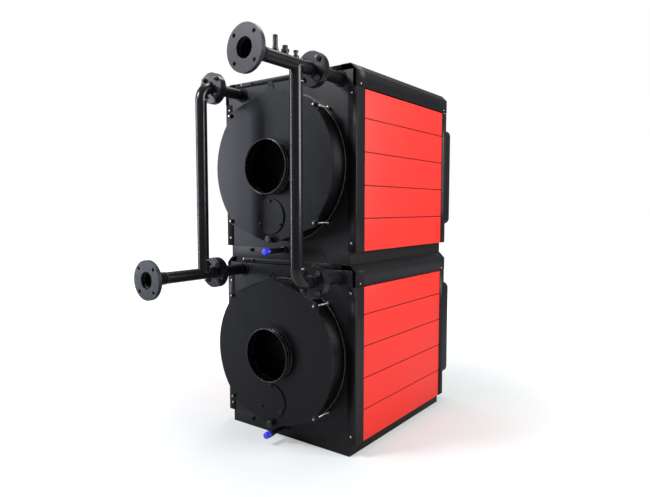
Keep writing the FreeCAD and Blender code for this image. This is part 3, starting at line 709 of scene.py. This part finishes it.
# %% Header fittings
low, high = corners("header_fittings")
base, tall = low[2], high[2] - low[2]
header_x = (low[0] + high[0]) / 2
NIPPLE_R, VENT_R, PLUG_CORNER = 11.0, 12.0, 19.0
nipple_at = np.array([header_x, low[1] + NIPPLE_R, base])
vent_at = np.array([header_x, high[1] - VENT_R, base])
plug_at = nipple_at + np.array([0.0, 64.0, 0.0])
fittings = [
    turned([(0, 12.5), (9, 12.5), (10, 11.6), (10, 10.6)], nipple_at, UP, steps=32),
    threaded(NIPPLE_R, 1.8, 9.5, tall - 10.5, nipple_at, UP, steps=28),
    turned([(tall - 1.2, 10.2), (tall - 0.2, 9.2), (tall - 4.0, 8.4)], nipple_at, UP, steps=28),
    nut(2 * PLUG_CORNER * math.cos(math.pi / 6), 13.0, plug_at, UP),
    turned([(12, 13.5), (14, 13.5), (15, 12.8), (15, 12)], plug_at, UP, steps=32),
    nut(22.0, 14.0, plug_at + 15.0 * UP, UP),
    turned([(0, 9), (15, 9), (15.6, 9.6)], vent_at, UP, steps=32),
    nut(2 * VENT_R * math.cos(math.pi / 6), 8.0, vent_at + 15.6 * UP, UP),
]
piece("sensor_and_vent", fittings, "fitting_steel", ["header_fittings"])

# %% [markdown]
# ## Weld beads
#
# Where pipe meets pipe or flange, the welder leaves a rippled bead. Round a
# pipe it is a ring. Where a branch sits on a run of the same size, the joint
# climbs and falls: at angle t round the branch, the run's surface is
# sqrt(R^2 - (r cos t)^2) from its axis.

# %% Rings and saddles
PIPE_R = 30.15


def ripple(t, size, count, phase=0.0):
    """Bead radius: a steady size with one small wave for each ripple and a slower swell."""
    return size * (1 + 0.18 * np.sin(count * t + phase) + 0.14 * np.sin(3 * t + 2 * phase))


def ring_bead(centre, axis, radius, size=2.6, count=46):
    """A rippled bead carried once round a circle."""
    t = np.linspace(0, 2 * np.pi, 184, endpoint=False)
    out = circle(axis, 184)
    return bead(np.asarray(centre, float) + radius * out, out, ripple(t, size, count, centre[0] + centre[2]))


def saddle_bead(centre, branch_axis, run_axis, radius, size=3.4, count=40):
    """Closed curve where the branch's skin meets the run's, with a bead carried along it."""
    t = np.linspace(0, 2 * np.pi, 160, endpoint=False)
    along = np.asarray(run_axis, float)
    side = np.cross(branch_axis, along)
    out = np.cos(t)[:, None] * along + np.sin(t)[:, None] * side
    run_r = radius * 1.01
    climb = np.sqrt(run_r**2 - (radius * np.sin(t)) ** 2)[:, None]
    path = np.asarray(centre, float) + radius * out + climb * branch_axis
    return bead(path, out, ripple(t, size, count))


flow_x, return_x = PIPE_X
low_z, high_z = PAIR_Z
ELBOW_REACH = 38.9
riser_y = [corners(n + "_riser")[0][1] + ELBOW_REACH for n in ("flow", "return")]
print("riser axes at y", [round(float(y), 1) for y in riser_y])
beads = []
for level, z in zip(LEVELS, PAIR_Z):
    for x in PIPE_X:
        beads.append(ring_bead((x, -717.6, z), TO_BACK, PIPE_R + 0.6, 3.0))
        beads.append(ring_bead((x, -756.4, z), TO_BACK, PIPE_R + 0.6, 3.0))
for x, z in ((flow_x, high_z), (return_x, low_z)):
    end = corners("flow_header")[0][1] if x == flow_x else corners("return_header")[0][1]
    beads.append(ring_bead((x, end + 0.5, z), TO_BACK, 44.45 + 0.4, 3.0, 60))
    beads.append(ring_bead((x, end + 90.0, z), TO_BACK, PIPE_R, 2.4))
riser_ends = [corners("return_riser")[0][2], corners("flow_riser")[1][2]]
# the weld rings at the riser ends take the light zinc finish so they show as thin bright rings
bright_riser_rings = [ring_bead((x, y, z), UP, PIPE_R + 0.4, 2.2) for x, y in zip(PIPE_X, riser_y) for z in riser_ends]
beads += [
    saddle_bead((flow_x, riser_y[0], high_z), -UP, (0, 1, 0), PIPE_R),
    saddle_bead((return_x, riser_y[1], low_z), UP, (0, 1, 0), PIPE_R),
]
piece("pipe_welds", beads, "pipe_black", crease=80)
piece("riser_welds", bright_riser_rings, "zinc_steel", crease=80)

# %% [markdown]
# ## Casing screws
#
# Bright round-headed screws hold the angles and the cover. They sit where a
# fitter would reach them: top and bottom of each angle, and at both ends of
# the cover's bands.

# %% Screws, plugs and studs
for level, rise in LEVELS.items():
    skin = corners(level + "_top_cover")
    side_x, end_y = skin[1][0], skin[1][1]
    bright = []
    for sx in (-1, 1):
        for sy in (-1, 1):
            for z in (110.0, 855.0):
                bright.append(dome_screw(5.2, (sx * 432.0, sy * end_y, rise + z), np.array([0.0, sy, 0.0])))
        for y in (-475.0, 480.0):
            sunk = (sx * (side_x - 1.2), y, rise + 903.0)
            bright.append(dome_screw(5.6, sunk, np.array([sx, 0.0, 0.0]), rise=0.3))
    bright.append(dome_screw(4.6, (-330.0, -end_y, rise + 989.0), TO_BACK))
    bright.append(dome_screw(4.6, (330.0, end_y, rise + 989.0), -TO_BACK))
    door_x = corners(level + "_front_door")[1][0]
    for sx in (-1, 1):
        for z in (308.0, 692.0):
            bright.append(dome_screw(4.2, (sx * door_x, end_y + 12.0, rise + z), np.array([sx, 0.0, 0.0])))
    piece(level + "_casing_screws", bright, "zinc_steel")
    rear = -corners(level + "_plinth")[1][1]
    plug = [(0, 14), (1.6, 14), (3.0, 12.8), (3.2, 11.0), (2.2, 9.5), (2.2, 3)]
    dark = [
        washer(15.0, 6.0, 2.4, (-262.0, rear, rise + 48.0), TO_BACK),
        nut(19.0, 8.0, (-262.0, rear - 2.4, rise + 48.0), TO_BACK),
        turned([(0, 6), (13, 6), (14, 5)], (-262.0, rear, rise + 48.0), TO_BACK, steps=20),
        turned(plug, (250.0, rear, rise + 40.0), TO_BACK, steps=36),
        turned([(0, 5), (1.0, 5), (1.6, 4.2), (1.2, 2)], (-315.0, rear, rise + 12.0), TO_BACK, steps=20),
        washer(11.0, 5.0, 1.8, (-252.0, -end_y, rise + 985.0), TO_BACK),
        nut(13.0, 6.0, (-252.0, -end_y - 1.8, rise + 985.0), TO_BACK),
    ]
    piece(level + "_plugs_and_studs", dark, "plate_black")

# %% [markdown]
# ## Finishes: shared effects first
#
# Paint, plastic and steel share three effects. Each is a node group, made once
# and then given its own numbers in every material:
#
# * **paint grain** — the fine orange peel of powder coat, with slow changes of
#   shade where the coat is thicker or has been handled;
# * **worn and lit edges** — a mask that is strong where two faces meet, found by
#   comparing the true direction of the surface with a rounded one; it lightens
#   edges for real wear and as a painted edge highlight;
# * **settled dust** — a mask on faces that look up, broken up by noise.

# %% A small builder for node groups
def wire(tree, out_node, out_name, in_node, in_name):
    """Join a named output to a named input."""
    tree.links.new(out_node.outputs[out_name], in_node.inputs[in_name])


def new_group(name, inputs, outputs):
    """An empty shader group with named sockets. Kinds are float, color and vector."""
    kinds = {"float": "NodeSocketFloat", "color": "NodeSocketColor", "vector": "NodeSocketVector"}
    group = bpy.data.node_groups.new(name, "ShaderNodeTree")
    for label, kind, value in inputs:
        group.interface.new_socket(label, in_out="INPUT", socket_type=kinds[kind]).default_value = value
    for label, kind in outputs:
        group.interface.new_socket(label, in_out="OUTPUT", socket_type=kinds[kind])
    return group, group.nodes.new("NodeGroupInput"), group.nodes.new("NodeGroupOutput")


def math_node(tree, operation, a, b, clamp=False):
    """A math node fed by sockets or plain numbers."""
    node = tree.nodes.new("ShaderNodeMath")
    node.operation, node.use_clamp = operation, clamp
    for slot, value in enumerate((a, b)):
        if isinstance(value, (int, float)):
            node.inputs[slot].default_value = value
        else:
            tree.links.new(value, node.inputs[slot])
    return node.outputs[0]


def noise_node(tree, scale, detail, vector, roughness=0.5):
    """Fractal noise at a scale, which may be a socket or a number."""
    node = tree.nodes.new("ShaderNodeTexNoise")
    node.inputs["Detail"].default_value = detail
    node.inputs["Roughness"].default_value = roughness
    if isinstance(scale, (int, float)):
        node.inputs["Scale"].default_value = scale
    else:
        tree.links.new(scale, node.inputs["Scale"])
    tree.links.new(vector, node.inputs["Vector"])
    return node.outputs["Fac"]


def ranged(tree, value, low, high, to_low=0.0, to_high=1.0):
    """Smooth step of a value from one range to another."""
    node = tree.nodes.new("ShaderNodeMapRange")
    node.interpolation_type = "SMOOTHSTEP"
    for label, number in (("From Min", low), ("From Max", high), ("To Min", to_low), ("To Max", to_high)):
        node.inputs[label].default_value = number
    tree.links.new(value, node.inputs["Value"])
    return node.outputs["Result"]


# %% Paint grain
def paint_grain_group():
    """Height is fine noise. Shade is one plus variation times slow noise, and roughness wanders with it."""
    tree, given, gives = new_group(
        "paint grain",
        [("Color", "color", (0.1, 0.1, 0.1, 1)), ("Grain", "float", 900.0), ("Variation", "float", 0.15),
         ("Roughness", "float", 0.45), ("Roughness Spread", "float", 0.08)],
        [("Color", "color"), ("Roughness", "float"), ("Height", "float")],
    )
    place = tree.nodes.new("ShaderNodeTexCoord").outputs["Object"]
    fine = noise_node(tree, given.outputs["Grain"], 2.0, place)
    slow = noise_node(tree, 3.1, 4.0, place, 0.6)
    medium = noise_node(tree, 38.0, 3.0, place, 0.6)
    mostly, partly = math_node(tree, "MULTIPLY", slow, 0.7), math_node(tree, "MULTIPLY", medium, 0.3)
    mixed = math_node(tree, "ADD", mostly, partly)
    centred = math_node(tree, "MULTIPLY", math_node(tree, "SUBTRACT", mixed, 0.5), 4.0)
    shade = math_node(tree, "ADD", 1.0, math_node(tree, "MULTIPLY", centred, given.outputs["Variation"]))
    tint = tree.nodes.new("ShaderNodeVectorMath")
    tint.operation = "SCALE"
    wire(tree, given, "Color", tint, 0)
    tree.links.new(shade, tint.inputs["Scale"])
    wander = math_node(tree, "MULTIPLY", centred, given.outputs["Roughness Spread"])
    rough = math_node(tree, "ADD", given.outputs["Roughness"], wander, clamp=True)
    tree.links.new(tint.outputs[0], gives.inputs["Color"])
    tree.links.new(rough, gives.inputs["Roughness"])
    tree.links.new(fine, gives.inputs["Height"])
    return tree


PAINT_GRAIN = paint_grain_group()

# %% Worn and lit edges
def worn_and_lit_edges_group():
    """Mask = (1 - true normal . rounded normal) * gain, broken up by noise, for wear and a painted edge
    highlight. Also gives the rounded normal.
    """
    tree, given, gives = new_group(
        "worn and lit edges",
        [("Gain", "float", 6.0), ("Breakup", "float", 60.0)],
        [("Mask", "float"), ("Normal", "vector")],
    )
    rounded = tree.nodes.new("ShaderNodeBevel")
    rounded.samples = 4
    rounded.inputs["Radius"].default_value = 0.0016
    surface = tree.nodes.new("ShaderNodeNewGeometry")
    dot = tree.nodes.new("ShaderNodeVectorMath")
    dot.operation = "DOT_PRODUCT"
    wire(tree, rounded, "Normal", dot, 0)
    wire(tree, surface, "Normal", dot, 1)
    edge = math_node(tree, "SUBTRACT", 1.0, dot.outputs["Value"], clamp=True)
    place = tree.nodes.new("ShaderNodeTexCoord").outputs["Object"]
    patchy = ranged(tree, noise_node(tree, given.outputs["Breakup"], 3.0, place), 0.42, 0.62)
    gained = math_node(tree, "MULTIPLY", edge, given.outputs["Gain"])
    mask = math_node(tree, "MULTIPLY", gained, patchy, clamp=True)
    tree.links.new(mask, gives.inputs["Mask"])
    wire(tree, rounded, "Normal", gives, "Normal")
    return tree


WORN_AND_LIT_EDGES = worn_and_lit_edges_group()

# %% Settled dust
def settled_dust_group():
    """Mask = smooth step of the normal's z, times noise between a quarter and one, times the amount."""
    tree, given, gives = new_group("settled dust", [("Amount", "float", 0.3)], [("Mask", "float")])
    surface = tree.nodes.new("ShaderNodeNewGeometry")
    split = tree.nodes.new("ShaderNodeSeparateXYZ")
    wire(tree, surface, "Normal", split, "Vector")
    facing_up = ranged(tree, split.outputs["Z"], 0.35, 0.95)
    place = tree.nodes.new("ShaderNodeTexCoord").outputs["Object"]
    patchy = ranged(tree, noise_node(tree, 14.0, 5.0, place, 0.65), 0.3, 0.75, 0.25, 1.0)
    settled = math_node(tree, "MULTIPLY", facing_up, patchy)
    mask = math_node(tree, "MULTIPLY", settled, given.outputs["Amount"], clamp=True)
    tree.links.new(mask, gives.inputs["Mask"])
    return tree


SETTLED_DUST = settled_dust_group()
print("node groups:", [g.name for g in bpy.data.node_groups])

# %% [markdown]
# ## Finishes: one recipe for paint, plastic and steel
#
# `finish` lays the groups on top of each other: first the coat's own colour,
# then a lighter colour at edges, bare metal where worn and a painted highlight,
# then dust. The Principled shader itself stays in the material. Numbers that
# don't change over the surface are set straight on the shader.

# %% The recipe
def mix_color(tree, factor, a, b):
    """Blend two colours; each may be a socket or a plain colour."""
    node = tree.nodes.new("ShaderNodeMix")
    node.data_type = "RGBA"
    tree.links.new(factor, node.inputs["Factor"])
    for slot, value in ((6, a), (7, b)):
        if isinstance(value, tuple):
            node.inputs[slot].default_value = value
        else:
            tree.links.new(value, node.inputs[slot])
    return node.outputs[2]


def use_group(tree, group, **values):
    """Set down a node group and give its sockets their numbers."""
    node = tree.nodes.new("ShaderNodeGroup")
    node.node_tree = group
    for label, value in values.items():
        node.inputs[label.replace("_", " ")].default_value = value
    return node


def finish(
    name, color, roughness, grain=900.0, bump=0.15, bump_depth=0.0004, variation=0.15, spread=0.06,
    metallic=0.0, coat=0.0, edge_wear_and_light=0.0, edge_wear_and_light_color=(0.30, 0.29, 0.28),
    dust=0.0, dust_color=(0.30, 0.29, 0.27), specular=0.5, breakup=60.0,
):
    """Paint grain, then worn and lit edges (wear and a painted edge highlight), then dust, into one
    Principled shader.
    """
    material = bpy.data.materials.new(name)
    material.use_nodes = True
    tree = material.node_tree
    shader = tree.nodes["Principled BSDF"]
    grained = use_group(
        tree, PAINT_GRAIN, Color=(*color, 1), Grain=grain, Variation=variation,
        Roughness=roughness, Roughness_Spread=spread,
    )
    edges = use_group(tree, WORN_AND_LIT_EDGES, Gain=edge_wear_and_light, Breakup=breakup)
    dusty = use_group(tree, SETTLED_DUST, Amount=dust)
    # lighter colour at the edges: bare metal where worn, and a painted edge highlight
    shade = mix_color(tree, edges.outputs["Mask"], grained.outputs["Color"], (*edge_wear_and_light_color, 1))
    shade = mix_color(tree, dusty.outputs["Mask"], shade, (*dust_color, 1))
    tree.links.new(shade, shader.inputs["Base Color"])
    dull = math_node(tree, "MULTIPLY", dusty.outputs["Mask"], 0.35)
    rough = math_node(tree, "ADD", grained.outputs["Roughness"], dull, clamp=True)
    tree.links.new(rough, shader.inputs["Roughness"])
    relief = tree.nodes.new("ShaderNodeBump")
    relief.inputs["Strength"].default_value = bump
    relief.inputs["Distance"].default_value = bump_depth
    wire(tree, grained, "Height", relief, "Height")
    wire(tree, edges, "Normal", relief, "Normal")
    wire(tree, relief, "Normal", shader, "Normal")
    shader.inputs["Metallic"].default_value = metallic
    shader.inputs["Specular IOR Level"].default_value = specular
    shader.inputs["Coat Weight"].default_value = coat
    shader.inputs["Coat Roughness"].default_value = 0.12
    return material


# %% The finishes of this boiler
FINISH = {
    "plinth_black": finish(
        "base frame paint", (0.010, 0.0095, 0.009), 0.42,
        edge_wear_and_light=1.5, dust=0.03, specular=0.22,
    ),
    "housing_black": finish("inner housing paint", (0.005, 0.005, 0.006), 0.6, specular=0.12),
    "casing_black": finish(
        "textured casing powder coat", (0.0085, 0.0086, 0.0105), 0.42,
        grain=1400, bump=0.3, edge_wear_and_light=1.2, dust=0.02, specular=0.24,
    ),
    "panel_red": finish(
        "red panel powder coat", (0.82, 0.028, 0.018), 0.48,
        grain=1200, bump=0.12, variation=0.03, edge_wear_and_light=0.8, edge_wear_and_light_color=(0.95, 0.25, 0.18), specular=0.42,
    ),
    "door_black": finish(
        "door powder coat", (0.008, 0.008, 0.009), 0.36,
        grain=1400, bump=0.25, edge_wear_and_light=0.8, specular=0.25,
    ),
    "smoke_box_black": finish(
        "heat paint on the drum", (0.0025, 0.0025, 0.003), 0.32,
        grain=700, bump=0.1, variation=0.1, edge_wear_and_light=1.0, specular=0.17,
    ),
    "plate_black": finish(
        "heat paint on the plate", (0.0035, 0.0036, 0.0050), 0.34,
        grain=1100, bump=0.22, variation=0.12, edge_wear_and_light=2.5, dust=0.04, specular=0.19,
    ),
    # its strong edge setting lightens the rolled lip as a painted highlight
    "collar_black": finish(
        "spun collar paint", (0.006, 0.006, 0.007), 0.26,
        grain=900, bump=0.1, edge_wear_and_light=3.0, specular=0.45,
    ),
    "zinc_steel": finish(
        "zinc plated fixings", (0.46, 0.46, 0.46), 0.32,
        grain=1800, bump=0.1, variation=0.15, metallic=1.0, spread=0.1,
    ),
    "drain_plastic": finish(
        "black drain plastic", (0.009, 0.009, 0.010), 0.38,
        grain=1600, bump=0.15, specular=0.4,
    ),
    "cap_blue": finish(
        "blue cap plastic", (0.04, 0.05, 0.75), 0.30,
        grain=1200, bump=0.06, variation=0.05, coat=0.2,
    ),
    "grommet_rubber": finish(
        "grommet rubber", (0.006, 0.006, 0.006), 0.55,
        grain=800, bump=0.2, specular=0.2,
    ),
    "pipe_black": finish(
        "gloss pipe paint", (0.008, 0.0082, 0.0095), 0.25,
        grain=260, bump=0.18, bump_depth=0.0006, variation=0.3,
        coat=0.12, edge_wear_and_light=0.8, dust=0.04, breakup=90.0, specular=0.32,
    ),
    "flange_primer": finish(
        "flange primer", (0.018, 0.019, 0.024), 0.42,
        grain=420, bump=0.35, bump_depth=0.0006, variation=0.35, edge_wear_and_light=2.5, breakup=80.0, specular=0.3,
    ),
    "gasket_grey": finish(
        "gasket and sealant", (0.12, 0.115, 0.11), 0.5,
        grain=500, bump=0.4, variation=0.5,
    ),
    "fitting_steel": finish(
        "fitting steel", (0.05, 0.05, 0.054), 0.34,
        grain=900, bump=0.2, variation=0.3, metallic=0.5, edge_wear_and_light=1.5,
    ),
}
print(len(FINISH), "finishes")

# %% [markdown]
# Painted shade darkens the grooves of the red panels. Those pieces stand where they
# were made, so a point's own x says how far it lies behind the panel's face.
# That distance, eased from one to three millimetres, is the mask for the painted shade.

# %% Painted shade in the grooves
def paint_groove_shade(material, face, painted_shade):
    """Mix a dark painted shade over the finish where |x| is 1 to 3 mm less than the face's distance from the
    middle.
    """
    tree = material.node_tree
    color_in = tree.nodes["Principled BSDF"].inputs["Base Color"]
    clean = color_in.links[0].from_socket
    split = tree.nodes.new("ShaderNodeSeparateXYZ")
    tree.links.new(tree.nodes.new("ShaderNodeTexCoord").outputs["Object"], split.inputs["Vector"])
    out = math_node(tree, "ABSOLUTE", split.outputs["X"], 0.0)
    behind = math_node(tree, "SUBTRACT", face, out)
    tree.links.new(mix_color(tree, ranged(tree, behind, 0.001, 0.003), clean, (*painted_shade, 1)), color_in)


panel_face = corners("lower_side_panel_right")[1][0] / 1000.0
# dark red painted shade for the panel grooves
paint_groove_shade(FINISH["panel_red"], panel_face, (0.16, 0.006, 0.005))
print("panel faces stand", round(panel_face * 1000, 1), "mm from the middle")

# %% [markdown]
# Every CAD node that still shows takes the finish of its slot, and so does each
# new piece.

# %% Put the finishes on
for name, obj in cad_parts.items():
    for slot in obj.material_slots:
        slot.material = FINISH[slot.material.name.split(".")[0]]
for name, obj in MADE.items():
    obj.data.materials.clear()
    obj.data.materials.append(FINISH[obj["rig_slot"]])

# %% [markdown]
# ## Floor, light and camera
#
# A white floor runs out of sight, so the boiler stands in an even pale space. A
# large soft light on each side does what studio panels do: the right one keeps
# the red even, the left one draws long highlights on the gloss pipes and a soft
# sheen on the plates.

# %% Floor
def floor_disc(radius):
    """Flat rings that widen outwards: radius * s^2 for s from 0 to 1."""
    s = np.linspace(0, 1, 24)[1:] ** 2 * radius
    rings = s[:, None, None] * circle(UP, 64)[None]
    return loft(rings)


mesh = bpy.data.meshes.new("studio_floor")
points, faces = floor_disc(60000.0)
inner = 64
mesh.from_pydata((points[:-inner] / 1000.0).tolist(), [], faces[: len(faces) - inner].tolist())
floor = bpy.data.objects.new("studio_floor", mesh)
bpy.context.scene.collection.objects.link(floor)
face_away(floor, (0, 0, -1e6))
floor_paint = bpy.data.materials.new("pale floor")
floor_paint.use_nodes = True
floor_tree = floor_paint.node_tree
floor_shader = floor_tree.nodes["Principled BSDF"]
place = floor_tree.nodes.new("ShaderNodeTexCoord").outputs["Object"]
pale = ranged(floor_tree, noise_node(floor_tree, 1.3, 4.0, place), 0.3, 0.7)
floor_shader.inputs["Roughness"].default_value = 0.7
floor_shader.inputs["Specular IOR Level"].default_value = 0.1
reach = floor_tree.nodes.new("ShaderNodeVectorMath")
reach.operation = "LENGTH"
floor_tree.links.new(place, reach.inputs[0])
glow = ranged(floor_tree, reach.outputs["Value"], 0.9, 3.2, 0.34, 1.0)
to_eye = floor_tree.nodes.new("ShaderNodeLightPath").outputs["Is Camera Ray"]
seen_glow = math_node(floor_tree, "MULTIPLY", glow, to_eye)
floor_tree.links.new(seen_glow, floor_shader.inputs["Emission Strength"])
floor_shader.inputs["Emission Color"].default_value = (1, 1, 1, 1)
paper = mix_color(floor_tree, pale, (0.45, 0.47, 0.47, 1), (0.47, 0.49, 0.49, 1))
shown = mix_color(floor_tree, to_eye, (0.42, 0.42, 0.42, 1), paper)
floor_tree.links.new(shown, floor_shader.inputs["Base Color"])
mesh.materials.append(floor_paint)

# %% Soft lights and the pale room
def panel_light(name, place, aim, size, watts, color=(1, 1, 1)):
    """A soft rectangular light at a place, turned to its aim."""
    data = bpy.data.lights.new(name, "AREA")
    data.shape, data.size, data.size_y = "RECTANGLE", size[0], size[1]
    data.energy, data.color = watts, color
    lamp = bpy.data.objects.new(name, data)
    bpy.context.scene.collection.objects.link(lamp)
    away = np.array(place, float) - np.array(aim, float)
    lamp.location = place
    tilt = math.atan2(math.hypot(away[0], away[1]), away[2])
    lamp.rotation_euler = (tilt, 0.0, math.atan2(away[0], -away[1]))
    return lamp


panel_light("right panel", (4.4, 0.6, 2.6), (0.4, 0.0, 1.2), (2.4, 2.6), 215)
panel_light("left panel", (-3.9, -3.2, 1.9), (-0.3, -0.6, 1.4), (0.7, 2.8), 120, (0.84, 0.88, 1.0))
panel_light("key panel", (-2.4, -4.4, 4.6), (0.0, 0.0, 0.8), (1.4, 1.4), 330, (0.95, 0.97, 1.0))
panel_light("top panel", (-0.2, 0.6, 5.0), (0.0, 0.0, 1.0), (2.4, 2.4), 150)

world = bpy.data.worlds.new("pale room")
bpy.context.scene.world = world
world.use_nodes = True
tree = world.node_tree
sky = tree.nodes["Background"]
seen = tree.nodes.new("ShaderNodeBackground")
seen.inputs["Color"].default_value, seen.inputs["Strength"].default_value = (1, 1, 1, 1), 1.0
sky.inputs["Color"].default_value, sky.inputs["Strength"].default_value = (0.94, 0.96, 1.0, 1), 0.22
ray = tree.nodes.new("ShaderNodeLightPath")
blend = tree.nodes.new("ShaderNodeMixShader")
wire(tree, ray, "Is Camera Ray", blend, 0)
tree.links.new(sky.outputs[0], blend.inputs[1])
tree.links.new(seen.outputs[0], blend.inputs[2])
tree.links.new(blend.outputs[0], tree.nodes["World Output"].inputs["Surface"])
bpy.context.scene.view_settings.view_transform = "Standard"

# %% Camera
camera_data = bpy.data.cameras.new("camera")
camera_data.lens, camera_data.sensor_width = 30.6, 36.0
camera_data.clip_end = 200.0
camera = bpy.data.objects.new("camera", camera_data)
camera.location = (1.9858, -2.8145, 1.2878)
camera.rotation_euler = (math.pi / 2 - 0.0734, 0.0, 0.6427)
bpy.context.scene.collection.objects.link(camera)
bpy.context.scene.camera = camera
